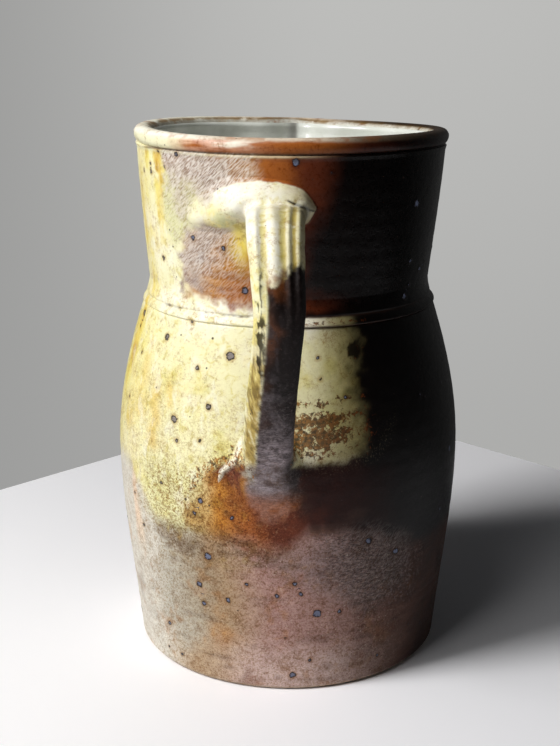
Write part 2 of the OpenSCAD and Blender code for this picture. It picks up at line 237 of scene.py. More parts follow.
def rim_roll(steps=30):
    a = np.radians(np.linspace(-50, 180, steps))
    across = np.where(np.cos(a) > 0, RIM_R - RIM_CENTRE_R, RIM_CENTRE_R - (RIM_R - RIM_T))
    low_half = RIM_H / 2 / math.sin(math.radians(50))
    return np.stack([RIM_CENTRE_R + np.cos(a) * across,
                     RIM_CENTRE_Z + np.sin(a) * np.where(a < 0, low_half, RIM_H / 2)], 1)


def rows(z_low, z_high, count, radius):
    z = np.linspace(z_low, z_high, count)
    return np.stack([radius(z), z], 1)


def refined(points, step):
    """An outline of corners with more points along it, its corners a little rounded"""
    points = np.asarray(points, float)
    out = [points[0]]
    for a, b in zip(points[:-1], points[1:]):
        n = max(1, int(round(np.linalg.norm(b - a) / step)))
        out += [lerp(a, b, (k + 1) / n) for k in range(n)]
    out = np.array(out)
    for _ in range(2):
        out[1:-1] = out[1:-1] / 2 + (out[:-2] + out[2:]) / 4
    return out


def belly_outline():
    foot = refined([[FOOT_R - FOOT_BEVEL - 1, 0], [FOOT_R - FOOT_BEVEL, 0],
                    [FOOT_R, FOOT_BEVEL], [float(belly_r(FOOT_BEVEL + 1)), FOOT_BEVEL + 1]], 0.5)
    side = rows(FOOT_BEVEL + 2, WAIST_Z, SKIN_ROWS, belly_r)
    floor_z = FLOOR_T + HEEL_R
    inside = rows(WAIST_Z, floor_z, 26, belly_in_r)
    a = np.radians(np.linspace(0, 90, 7))[1:]
    heel = np.stack([belly_in_r(floor_z) - HEEL_R + HEEL_R * np.cos(a),
                     floor_z - HEEL_R * np.sin(a)], 1)
    return np.concatenate([[[0, 0], [FLOOR_RING_R, 0]], foot, side, inside, heel, [[0, FLOOR_T]]])


def collar_outline():
    line_z = WAIST_Z + BAND_H
    band = [[SHOULDER_R, WAIST_Z], [LEDGE_R, WAIST_Z + 0.11 * BAND_H],
            [lerp(LEDGE_R, LINE_R, 0.05), WAIST_Z + 0.33 * BAND_H],
            [lerp(LEDGE_R, LINE_R, 0.8), WAIST_Z + 0.89 * BAND_H], [LINE_R, line_z],
            [lerp(LINE_R, NECK_R, -0.5), lerp(line_z, NECK_Z, 0.08)],
            [lerp(LINE_R, NECK_R, 0.6), lerp(line_z, NECK_Z, 0.6)], [NECK_R, NECK_Z]]
    side = rows(NECK_Z, GROOVE_Z - 2 * BEAD_H, COLLAR_ROWS, neck_r)
    z_low = GROOVE_Z - BEAD_H
    bead = [side[-1], [neck_r(z_low) + 0.6 * BEAD_OUT, z_low],
            [neck_r(GROOVE_Z) + BEAD_OUT, GROOVE_Z - BEAD_H / 2],
            [rim_roll()[0][0] - BEAD_OUT, GROOVE_Z - BEAD_H / 5]]
    inside = rows(GROOVE_Z, WAIST_Z, 12, collar_in_r)
    return np.concatenate([refined(band, 0.3)[:-1], side[:-1], refined(bead, 0.3),
                           rim_roll(), [[RIM_R - RIM_T, RIM_CENTRE_Z - 0.2 * RIM_H]], inside])


# The collar's shape round the mouth: the lip pulled out, the rim leaning and waving

def lip_bump(across):
    beside = np.abs(across) - 0.95 * LIP_W
    return np.exp(-(2 * across / LIP_W) ** 2) - 0.14 * np.exp(-(beside / (0.42 * LIP_W)) ** 2)


def collar_point(angle, r, z):
    """A place on the collar: angle in degrees from +X, radius and height before it was bent"""
    wrapped = (angle - 90 + 180) % 360 - 180
    across = RIM_R * np.radians(wrapped)
    fade = np.clip((z - JUG_H + THROAT_H) / THROAT_H, 0, 1) ** 1.7
    pull = lip_bump(across) * fade
    part = np.clip((z - WAIST_Z) / (JUG_H - WAIST_Z), 0, 1)
    a = np.radians(angle)
    out = r + LIP_REACH * pull
    lift = RIM_WAVE * np.cos(2 * a + math.radians(RIM_WAVE_TURN)) - RIM_TILT * np.cos(a)
    return np.stack([out * np.cos(a) + RIM_LEAN * part, out * np.sin(a),
                     z + lift * part * part - LIP_DROP * np.maximum(0, pull)], -1)


# Iron spots: turn from the handle in degrees, height, and radius, in millimetres
SPOTS = [
    (-56, 236, 1.1), (-56, 232.6, 1.5), (-63.5, 232.5, 1.2), (-49, 242, 1), (-45.5, 235.7, 1.1),
    (-38.7, 241.5, 1.5), (-12, 228, 1.3), (6, 239.7, 2.4), (18, 235.7, 0.9), (-33, 206.2, 1.7),
    (-20, 202.7, 1.6), (-52.4, 194.5, 1.5), (-12.5, 184.8, 2.2), (8.4, 206.6, 0.8),
    (-45, 160.6, 2), (-16.4, 157.3, 2.5), (-28.3, 150.5, 1.4), (-33.6, 169.2, 1.1),
    (-22.4, 135, 1.8), (-35.3, 126.9, 2.3), (-33.5, 117.7, 1.3), (-24.5, 119.8, 1.2),
    (13.7, 157.3, 1.1), (14.3, 148.6, 1), (22.1, 140.3, 1.2),
    (-24.1, 92.5, 1.9), (-13.6, 86.8, 1.5), (-26.5, 86, 1.4), (-22.4, 66, 2.3),
    (-26.6, 50.6, 1.9), (-25.3, 41, 1.8), (-16.2, 45.2, 1.7), (-9.4, 54.8, 1.3),
    (0.3, 49.9, 1.6), (6, 56, 1.5), (7.9, 50.7, 1.4), (13.4, 40.3, 2.6), (21, 40.2, 1.6),
    (29.9, 73.7, 2.2), (40.8, 65.1, 2), (-43.1, 22.8, 1.6), (-38, 8.5, 1),
    (-45.6, 9, 1), (5.3, 8.3, 1.9), (11.6, 15.9, 1.2), (37.5, 11.8, 1.3), (-60, 150, 1),
    (-69, 160, 1.2), (-64, 128, 1.1), (-40, 96, 1.1), (-57, 84, 1.1), (-52, 70, 1), (3, 28, 0.9)
]
# More of them where the photograph does not reach
FAR_SPOTS = 90
FAR_SPOT_TURNS = (48, 292)
SPOT_SIZE = 0.82
SPOT_NEAR = 3.2


def all_spots():
    random = np.random.default_rng(11)
    turn = random.uniform(*FAR_SPOT_TURNS, FAR_SPOTS)
    far = [(t if t < 180 else t - 360, z, r) for t, z, r in
           zip(turn, random.uniform(6, 240, FAR_SPOTS), 0.8 + 1.7 * random.random(FAR_SPOTS) ** 2)]
    return np.array(SPOTS + far) * (1, 1, SPOT_SIZE)


def spot_place(points):
    """Place of each point in the nearest iron spot: across and up from its middle and its radius,
    in millimetres, and 1 where that spot is near enough to count"""
    turn = turn_of(points)
    place = np.zeros((len(points), 4), np.float32)
    best = np.full(len(points), SPOT_NEAR)
    for at, z, radius in all_spots():
        across = wall_r(z) * np.radians((turn - at + 180) % 360 - 180)
        up = points[:, 2] - z
        edge = np.hypot(across, up) - radius
        index = np.nonzero(edge < best)[0]
        best[index] = edge[index]
        place[index, 0] = across[index]
        place[index, 1] = up[index]
        place[index, 2] = radius
        place[index, 3] = 1
    return place


def turn_of(points):
    """Degrees round from the handle, positive towards +X"""
    return np.degrees(np.arctan2(points[:, 0], -points[:, 1]))


# Surface relief of the pot, in millimetres outwards

def skin_relief(points):
    z = points[:, 2]
    uneven = 0.12 * cloud(points, 55, 3, 2)
    throwing = 0.02 * np.sin(2 * np.pi * (z / THROWING_PITCH + turn_of(points) / 360))
    throwing = throwing * rise(z, 60, 110)
    drag = 0.07 * cloud(points, 26, 9, 3, (1, 1, 0.08)) * rise(z, 120, 60)
    pitted = 0.05 * cloud(points, 2.6, 21, 2)
    wavy = z - 0.5 * cloud(points, 40, 33, 1)
    lines = sum(bump_at(wavy, at, SCORED_W) for at in SCORED_Z)
    lines = -0.22 * lines * rise(cloud(points, 22, 35, 2), -0.3, 0.4)
    across, up, size, near = spot_place(points).T
    depth = size - np.hypot(across, up)
    blister = near * (0.22 * rise(depth, -0.3, 0.5) - 0.3 * rise(depth, 0.3, 1.1))
    return np.minimum(uneven + throwing + drag + pitted + lines + blister, SKIN_MOST) - SKIN_INSET


# Meshes

def add_mesh(name, verts, faces):
    """A new object from points in millimetres"""
    mesh = bpy.data.meshes.new(name)
    mesh.from_pydata((np.asarray(verts) * MM).tolist(), [], faces)
    mesh.validate()
    mesh.update()
    mesh.shade_smooth()
    piece = bpy.data.objects.new(name, mesh)
    bpy.context.scene.collection.objects.link(piece)
    return piece


def turned(name, outline, sides, place):
    """A closed solid turned from an outline of (radius, height), whose ends may lie on the axis.
    place(angle, radius, height) gives each point, and the outline runs up on the outside."""
    angles = np.arange(sides) * 360 / sides
    verts = []
    starts = []
    for r, z in outline:
        starts.append(len(verts))
        if r == 0:
            verts.append([0, 0, z])
        else:
            verts.extend(place(angles, np.full(sides, r), np.full(sides, z)).tolist())
    faces = []
    loop = list(range(len(outline)))
    if outline[0][0] != 0:
        loop.append(0)
    for a, b in zip(loop[:-1], loop[1:]):
        ra, rb = starts[a], starts[b]
        for i in range(sides):
            j = (i + 1) % sides
            if outline[a][0] == 0:
                faces.append((ra, rb + j, rb + i))
            elif outline[b][0] == 0:
                faces.append((ra + i, ra + j, rb))
            else:
                faces.append((ra + i, ra + j, rb + j, rb + i))
    return add_mesh(name, verts, faces)


def points_of(piece):
    co = np.empty(len(piece.data.vertices) * 3, np.float32)
    piece.data.vertices.foreach_get("co", co)
    return co.reshape(-1, 3) / MM


def move_points(piece, points):
    piece.data.vertices.foreach_set("co", (points * MM).astype(np.float32).ravel())
    piece.data.update()


def push_out(piece, relief, only):
    """Moves the chosen points of a piece along its radius"""
    points = points_of(piece)
    out = points[:, :2] / np.maximum(1e-6, np.linalg.norm(points[:, :2], axis=1))[:, None]
    points[only, :2] += (out * relief[:, None])[only]
    move_points(piece, points)


def straight(angle, r, z):
    a = np.radians(angle)
    return np.stack([r * np.cos(a), r * np.sin(a), z], -1)


def make_body():
    piece = turned("lower_body", belly_outline(), SIDES, straight)
    points = points_of(piece)
    r = np.linalg.norm(points[:, :2], axis=1)
    outside = (r > belly_r(points[:, 2]) - 1) & (points[:, 2] > FOOT_BEVEL / 2)
    relief = skin_relief(points) * rise(points[:, 2], 0.8, 3)
    push_out(piece, relief, outside)
    return piece


def make_collar():
    piece = turned("neck_collar", collar_outline(), SIDES, collar_point)
    points = points_of(piece)
    r = np.linalg.norm(points[:, :2], axis=1)
    outside = r > 0.5 * (wall_r(points[:, 2]) + collar_in_r(points[:, 2]))
    keep = 1 - 0.55 * rise(points[:, 2], GROOVE_Z - 2, GROOVE_Z + 2)
    turn = turn_of(points)
    worn = rise(turn, -44, -56) * rise(turn, -150, -130) + 0.3 * cloud(points, 14, 71, 2)
    ledge = -0.5 * bump_at(points[:, 2], WAIST_Z + 1, 1.3) * worn
    push_out(piece, skin_relief(points) * keep + ledge, outside & (points[:, 2] < JUG_H - 1.5))
    return piece


def liner_outline(inset):
    """The inside from the rim's inner edge to the middle of the floor"""
    low_r = float(belly_in_r(FLOOR_T + HEEL_R))
    top = [[RIM_R - RIM_T - 0.6 * inset, RIM_CENTRE_Z + 0.12 * RIM_H],
           [RIM_R - RIM_T - inset, RIM_CENTRE_Z - 0.2 * RIM_H]]
    throat = rows(GROOVE_Z, WAIST_Z, 50, lambda z: collar_in_r(z) - inset)
    belly = rows(WAIST_Z - 1.4, FLOOR_T + HEEL_R, 96, lambda z: belly_in_r(z) - inset)
    a = np.radians(np.linspace(0, 90, 16))[1:]
    heel = np.stack([low_r - HEEL_R + (HEEL_R - inset) * np.cos(a),
                     FLOOR_T + HEEL_R - (HEEL_R - inset) * np.sin(a)], 1)
    across = np.linspace(heel[-1][0], 0, 16)[1:]
    floor = np.stack([across, np.full(15, FLOOR_T + inset)], 1)
    floor[-1, 0] = 0
    return np.concatenate([top, throat, belly, heel, floor])


def make_liner():
    inner = liner_outline(LINER_T)
    outer = liner_outline(LINER_BACK)[::-1]
    keep = np.concatenate([outer[:1], outer[15:-1:3], outer[-1:]])
    piece = turned("liner_glaze", np.concatenate([keep, inner]), LINER_SIDES, collar_point)
    points = points_of(piece)
    relief = -0.14 * (1 + cloud(points, 9, 51, 3)) * rise(points[:, 2], 246, 238)
    r = np.linalg.norm(points[:, :2], axis=1)
    inside = (r < collar_in_r(points[:, 2]) - 0.35) & (r > 20)
    push_out(piece, relief, inside)
    return piece


# Strap: its route, section and fluting, as in the frame but with more steps

ROUTE_SHARES = np.array([
    (0, 0, 0), (0.27, -0.017, 0.04), (0.58, -0.012, 0.14), (0.85, 0.052, 0.4), (0.98, 0.165, 0.73),
    (1, 0.305, 1), (0.9, 0.467, 0.8), (0.72, 0.629, 0.54), (0.485, 0.771, 0.26), (0.23, 0.9, 0.1),
    (0, 1, 0)])
FLUTE_SHARES = np.array([
    (-0.94, 0), (-0.66, 1), (-0.44, -1), (-0.1, 1), (0.28, -1), (0.46, 0.9), (0.62, -1),
    (0.82, 0.9), (0.94, 0)])
COIL_SHARES = np.array([
    (-2.9, -0.55, -2.95, -0.6, 0.02), (-2.35, -0.6, -2.6, -0.2, 0.22),
    (-1.8, -0.7, -2.15, 0.22, 0.5), (-1.3, -0.5, -1.7, 0.64, 0.78),
    (-1.05, 0.25, -1.25, 0.94, 0.96), (-0.9, 0.8, -0.75, 1, 1), (-0.4, 1.06, -0.3, 0.98, 1),
    (0.3, 1.06, 0.35, 0.86, 0.98), (0.84, 0.86, 0.88, 0.56, 0.9), (1.06, 0.45, 1.26, -0.05, 0.55)])
CLAY_SECTION_SHARES = np.array([
    (0, 0), (0.06, 0.5), (0.16, 0.84), (0.32, 1), (0.5, 0.95), (0.68, 0.74), (0.84, 0.4), (1, 0)])


def along(table, share):
    """Points on the smooth curve through a table's rows, at shares of the way along"""
    table = np.asarray(table, float)
    last = len(table) - 1
    at = np.clip(share, 0, 1) * last
    i = np.minimum(np.floor(at).astype(int), last - 1)
    t = (at - i)[:, None]
    padded = np.concatenate([[2 * table[0] - table[1]], table, [2 * table[-1] - table[-2]]])
    p0, p1, p2, p3 = (padded[i + k] for k in range(4))
    return (p1 + (p2 - p0) * t / 2 + (2 * p0 - 5 * p1 + 4 * p2 - p3) * t * t / 2
            + (3 * p1 - p0 - 3 * p2 + p3) * t ** 3 / 2)


ROOT_TOP_OUT = float(neck_r(STRAP_TOP_Z))
ROOT_FOOT_OUT = math.sqrt(float(belly_r(STRAP_FOOT_Z)) ** 2 - STRAP_FOOT_X ** 2)
ROUTE = np.stack([
    STRAP_FOOT_X * ROUTE_SHARES[:, 1] + STRAP_BOW * ROUTE_SHARES[:, 2],
    lerp(ROOT_TOP_OUT, ROOT_FOOT_OUT, np.clip(ROUTE_SHARES[:, 1], 0, 1))
    + STRAP_REACH * ROUTE_SHARES[:, 0],
    lerp(STRAP_TOP_Z, STRAP_FOOT_Z, ROUTE_SHARES[:, 1])], 1)


def route_at(share):
    """(centre, direction, outward) of the strap, as (x, out, z), at shares of its route"""
    share = np.asarray(share, float)
    centre = along(ROUTE, share)
    step = along(ROUTE, share + 0.01) - along(ROUTE, share - 0.01)
    step[:, 0] = 0
    step /= np.linalg.norm(step, axis=1)[:, None]
    outward = np.stack([np.zeros(len(share)), -step[:, 2], step[:, 1]], 1)
    return centre, step, outward


def strap_half_w(share):
    top = lerp(STRAP_TOP_W, STRAP_W, smooth(share / 0.62))
    foot = lerp(STRAP_W, STRAP_FOOT_W, smooth((share - 0.62) / 0.38))
    return np.where(share < 0.62, top, foot) / 2


def flute_part(share):
    return rise(share, 0.05, 0.24) * (1 - rise(share, 0.38, 0.6))


def bevel_part(share):
    return rise(share, 0.3, 0.5) * (1 - rise(share, 0.9, 1))


def flute_height(x):
    """1 on a ridge and -1 in a flute, at places across the strap"""
    place, value = FLUTE_SHARES.T
    i = np.clip(np.searchsorted(place, x) - 1, 0, len(place) - 2)
    t = smooth((x - place[i]) / (place[i + 1] - place[i]))
    return lerp(value[i], value[i + 1], t)


def strap_rings(count, around):
    """Closed rings of points round the strap, which runs on a little way into both walls"""
    share = np.linspace(0, 1, count)
    centre, step, outward = route_at(share)
    half = around // 2
    x = -np.cos(np.pi * np.arange(half + 1) / half)
    side = STRAP_T / 2 * np.maximum(0, 1 - np.abs(x) ** 4) ** 0.5
    rings = []
    for k, s in enumerate(share):
        bevel = BEVEL_DEPTH * bevel_part(s) * np.maximum(0, -x - 0.43) / 0.57
        sway = FLUTE_SWAY * math.sin(11 * s + 1) * np.cos(4 * x) * (1 - np.abs(x))
        flute = flute_height(x + sway) * flute_part(s) * rise(1 - np.abs(x), 0, 0.1)
        front = side + FLUTE_DEPTH / 2 * flute - bevel
        across = strap_half_w(s) * np.concatenate([x, x[-2:0:-1]])
        height = np.concatenate([front, -side[-2:0:-1]])
        rings.append(centre[k] + across[:, None] * [1, 0, 0] + height[:, None] * outward[k])
    sunk_top = rings[0] - step[0] * STRAP_SUNK
    sunk_foot = rings[-1] + step[-1] * STRAP_SUNK
    return [sunk_top] + rings + [sunk_foot]


def on_wall(at_neck, x, z, out):
    """A place on a wall, moved outwards, as (x, out, z)"""
    r = neck_r(z) if at_neck else belly_r(z)
    lean = lean_at(z) if at_neck else 0
    turn = np.arcsin(np.clip((x - lean) / r, -1, 1))
    return np.stack([lean + (r + out) * np.sin(turn), (r + out) * np.cos(turn), z], -1)


def clay_rings(edges, thick, lean, at_neck):
    """Rings of joining clay laid on a wall, from a table of inner and outer edges"""
    rings = []
    for x0, z0, x1, z1, share in edges:
        c = CLAY_SECTION_SHARES[:, 0]
        out = thick * share * CLAY_SECTION_SHARES[:, 1]
        x = lerp(x0, x1, c)
        z = lerp(z0, z1, c)
        front = on_wall(at_neck, x, z + lean * out * (1 - c), out)
        back = on_wall(at_neck, x[::-1], z[::-1], np.full(len(c), -CLAY_SUNK))
        rings.append(np.concatenate([front, back]))
    return rings


def coil_rings():
    half_h = STRAP_T / 2 / abs(route_at([0.0])[1][0][1])
    e = along(COIL_SHARES, np.linspace(0, 1, COIL_ROWS))
    edges = np.stack([e[:, 0] * STRAP_TOP_W / 2, STRAP_TOP_Z + e[:, 1] * half_h,
                      e[:, 2] * STRAP_TOP_W / 2, STRAP_TOP_Z + half_h + e[:, 3] * COIL_H, e[:, 4]], 1)
    return clay_rings(edges, COIL_OUT, 0.15, True)


def ringed_faces(count, n):
    quads = [(i * n + k, i * n + (k + 1) % n, (i + 1) * n + (k + 1) % n, (i + 1) * n + k)
             for i in range(count - 1) for k in range(n)]
    ends = [(0, k + 1, k) for k in range(1, n - 1)]
    last = (count - 1) * n
    ends += [(last, last + k, last + k + 1) for k in range(1, n - 1)]
    return np.array(quads, np.uint32), np.array(ends, np.uint32)


def to_frame(points):
    return points * [1, -1, 1]


# One blended form from the strap, the coil and the fan, with fillets into the walls

FORM_LOW = np.array([-44, -120, 84.0])
FORM_HIGH = np.array([28, -56, 244.0])
FORM_BAND = 12
COIL_FILLET = (2.6, 9)
COIL_BLEND = 6.5
HAND_MARKS = 0.35
FOOT_FILLET = 8
FORM_SKIRT = 7
FORM_DEEP = 2.5
FORM_SUNK = 0.6


def distance_field(rings, transform, shape, origin):
    points = to_frame(np.concatenate(rings)).astype(np.float32)
    quads, ends = ringed_faces(len(rings), len(rings[0]))
    grid = openvdb.FloatGrid.createLevelSetFromPolygons(
        points, triangles=ends, quads=quads, transform=transform, halfWidth=FORM_BAND / VOXEL)
    field = np.empty(shape, np.float32)
    grid.copyToArray(field, ijk=origin)
    return field


def blended(a, b, width):
    """The nearer of two distances, with a fillet of that width where they meet"""
    near = np.maximum(0, width - np.abs(a - b))
    return np.minimum(a, b) - near * near / (4 * width)


def edge_distance(x, z, start, end):
    """How far each place is from the straight edge between two corners"""
    ex, ez = end[0] - start[0], end[1] - start[1]
    t = np.clip(((x - start[0]) * ex + (z - start[1]) * ez) / (ex * ex + ez * ez), 0, 1)
    return np.hypot(x - start[0] - t * ex, z - start[1] - t * ez)


def line_distance(x, z, corners):
    """How far each place is from a line through the corners"""
    return np.min([edge_distance(x, z, a, b) for a, b in zip(corners[:-1], corners[1:])], axis=0)


def fan_relief(x, z):
    """How far the spread foot of the strap stands off the belly"""
    far = np.hypot((x - FAN_MIDDLE[0]) / FAN_HALF[0], (z - FAN_MIDDLE[1]) / FAN_HALF[1])
    ridge = bump_at(line_distance(x, z, FAN_RIDGE), 0, FAN_RIDGE_W)
    ridge = ridge * rise(z, 97, 110) * rise(z, 128, 120)
    return FAN_OUT * smooth(1.2 - far) + FAN_RIDGE_OUT * ridge


def softened(field):
    for axis in range(3):
        ahead = np.roll(field, 1, axis)
        field = field / 2 + (ahead + np.roll(field, -1, axis)) / 4
    return field


def make_handle():
    transform = openvdb.createLinearTransform(voxelSize=VOXEL)
    low = np.floor(FORM_LOW / VOXEL).astype(int)
    shape = tuple(np.ceil((FORM_HIGH - FORM_LOW) / VOXEL).astype(int))
    origin = tuple(int(v) for v in low)
    strap = distance_field(strap_rings(STRAP_ROWS, STRAP_SIDES), transform, shape, origin)
    coil = distance_field(coil_rings(), transform, shape, origin)
    steps = [(low[k] + np.arange(shape[k])) * VOXEL for k in range(3)]
    x, y, z = np.meshgrid(*steps, indexing="ij")
    wall = np.hypot(x - lean_at(z), y) - wall_r(z) + FORM_SUNK
    relief = fan_relief(x, z)
    upper = blended(strap, coil, COIL_BLEND)
    fillet = lerp(*COIL_FILLET, rise(x, -12, -26))
    form = np.where(z > (STRAP_TOP_Z + STRAP_FOOT_Z) / 2, blended(upper, wall, fillet),
                    blended(strap, wall - relief, FOOT_FILLET))
    form = np.maximum(form, np.minimum(upper - FORM_SKIRT, 4 * (0.3 - relief)))
    form = softened(np.maximum(form, -wall - FORM_DEEP)).astype(np.float32)
    grid = openvdb.FloatGrid(float(FORM_BAND))
    grid.transform = transform
    grid.copyFromArray(form, ijk=origin)
    points, triangles, quads = grid.convertToPolygons(0.0, 0.0)
    piece = add_mesh("strap_handle", points, quads.tolist() + triangles.tolist())
    normals = np.empty(len(points) * 3, np.float32)
    piece.data.vertices.foreach_get("normal", normals)
    marks = 0.5 + 0.5 * cloud(points, 7, 61, 2)
    move_points(piece, points - HAND_MARKS * np.clip(marks, 0, 1)[:, None] * normals.reshape(-1, 3))
    return piece


# Colours

def colour(r, g, b):
    c = np.array([r, g, b]) / 255
    return np.where(c <= 0.04045, c / 12.92, ((c + 0.055) / 1.055) ** 2.4)


CREAM = colour(240, 236, 198)
PALE = colour(246, 242, 224)
YELLOW = colour(236, 220, 118)
BRIGHT_YELLOW = colour(244, 216, 76)
ORANGE = colour(224, 192, 96)
TOFFEE = colour(206, 164, 66)
AMBER = colour(230, 194, 88)
GREENISH = colour(208, 206, 134)
GREY_ASH = colour(186, 182, 168)
CRAWL = colour(186, 164, 146)
HONEY = colour(206, 150, 52)
GOLD = colour(194, 130, 46)
DARK_GOLD = colour(110, 76, 26)
UMBER = colour(112, 70, 22)
RUST = colour(164, 92, 38)
RED_BROWN = colour(104, 48, 26)
DARK_RED = colour(48, 17, 10)
IRON = colour(15, 6, 4)
PINK_CLAY = colour(180, 142, 134)
PALE_CLAY = colour(218, 194, 186)
BUFF_CLAY = colour(184, 158, 128)
GREY_CLAY = colour(216, 211, 199)
BROWN_CLAY = colour(150, 106, 88)
BURNT_CLAY = colour(92, 54, 40)
DARK_CLAY = colour(84, 60, 50)
BARE_CLAY = colour(186, 168, 148)
PEACH = colour(240, 206, 170)
LILAC = colour(158, 146, 150)
SCORCH = colour(118, 96, 74)
OCHRE = colour(186, 160, 84)
RIM_PINK = colour(222, 176, 150)
RIM_TOP = colour(222, 208, 186)
RIM_SHADE = colour(132, 118, 98)
RIM_INSIDE = colour(214, 212, 200)
STRAP_BROWN = colour(98, 60, 40)
STRAP_OLIVE = colour(118, 96, 44)
COIL_SHADE = colour(198, 186, 140)

# Colours that darken what lies under them, some of them laid as painted shade
SMOKE_AND_SHADE = colour(150, 142, 138)
WARM_TINT = colour(206, 182, 138)
ASH_SHADE_TINT = colour(170, 162, 122)
STRAP_SHADE_TINT = colour(214, 210, 184)
TINT = True


def coats(base, *layers):
    """Colours with each layer of (colour, how much there is at each point) laid over them in
    turn. A layer marked TINT is multiplied with what lies under it."""
    for new, part, *tint in layers:
        over = base * new if tint else new
        base = base + (over - base) * np.clip(part, 0, 1)[:, None]
    return base


# Glaze zones of the wall, as (turn in degrees, height) corners

CRAWL_PATCH = ((-42, 243), (-9, 243), (-8, 236), (-9, 227), (-20, 223.5), (-29, 219), (-34, 214),
               (-38, 206), (-43, 204), (-44, 213), (-46, 221), (-42, 230))
COIL_ASH_PATCH = ((-40, 214), (-32, 223), (-24, 227), (-6, 230), (4, 222), (-8, 208), (-15, 196),
                  (-17, 206), (-24, 213), (-32, 209), (-38, 204))
BROWN_PATCH = ((-35, 204), (-31, 209), (-25, 213), (-19, 212.5), (-15, 208), (-14, 200),
               (-10, 193), (-8, 179), (-20, 178), (-29, 181), (-36, 186), (-38, 196))
LILAC_PATCH = ((2, 66), (16, 80), (30, 86), (48, 72), (46, 46), (30, 40), (12, 52))
GREY_PATCH = ((-42, 76), (-30, 80), (-25, 66), (-20, 46), (-26, 26), (-36, 14), (-44, 30))
WRINKLE_PATCH = ((10, 84), (50, 88), (56, 64), (50, 36), (30, 38), (16, 60))
# Millimetres in a degree of turn, on the belly and on the neck
BELLY_DEGREE = 1.4
NECK_DEGREE = 1.2

# Lower edges of the ash and of the rust, as (turn, height)
ASH_LOW = ((-180, 190), (-158, 176), (-146, 138), (-134, 110), (-116, 108), (-96, 104), (-78, 101),
           (-68, 98), (-58, 99), (-50, 88), (-44, 79), (-31, 79), (-26, 100), (-20, 109), (-15, 113),
           (9, 112), (20, 112), (32, 117), (38, 124), (60, 190), (180, 190))
RUST_LOW = ((-180, 84), (-120, 78), (-60, 82), (-30, 84), (-22, 77), (-12, 78), (-3, 73), (4, 74),
            (10, 82), (22, 79), (34, 73), (50, 66), (90, 66), (140, 80), (180, 84))

# Amber drips in the ash, as (turn, half width, lowest, highest)
DRIPS = ((-45, 2.6, 106, 150), (-54, 3, 118, 166), (-62, 3, 112, 150), (-37.5, 1.8, 128, 152))
# Level bands of rust speckle beside the strap, as (strength, height, half width)
SPECKLE_BANDS = ((0.6, 140, 1.8), (0.6, 132.5, 3), (0.8, 123.5, 4), (0.55, 115, 3.6), (0.35, 127, 10))
SPECKLE_MIDDLE = 20
SPECKLE_SLOPE = 0.12
# One dark blotch in the ash: its turn and height
BLOTCH = (27, 159)


def patch_depth(turn, z, corners, mm_a_degree):
    """How far inside a drawn patch each place lies, in millimetres, and negative outside it"""
    x = turn * mm_a_degree
    shape = np.array(corners, float) * [mm_a_degree, 1]
    inside = np.zeros(len(x), bool)
    for (ax, az), (bx, bz) in zip(shape, np.roll(shape, -1, axis=0)):
        if az != bz:
            inside ^= ((az > z) != (bz > z)) & (x < (bx - ax) * (z - az) / (bz - az) + ax)
    near = line_distance(x, z, np.concatenate([shape, shape[:1]]))
    return np.where(inside, near, -near)


def wall_places(points):
    """Where the wall's points lie, and the layers of noise that the paint follows. t and h are
    the turn and the height, made ragged."""
    turn = turn_of(points)
    z = points[:, 2]
    big = cloud(points, 36, 101)
    mid = cloud(points, 12, 103)
    fine = cloud(points, 3.4, 105, 3)
    t = turn + 2.4 * mid + 1.2 * fine
    return SimpleNamespace(
        x=points[:, 0], z=z, turn=turn, t=t, h=z + 2.4 * mid + 1.5 * fine, big=big, mid=mid,
        fine=fine, tall=cloud(points, 9, 107, 3, (1, 1, 7)),
        flat=cloud(points, 2.4, 109, 3, (9, 9, 1)),
        fired=rise(t + 6 * big + 4 * mid, -164, -138))


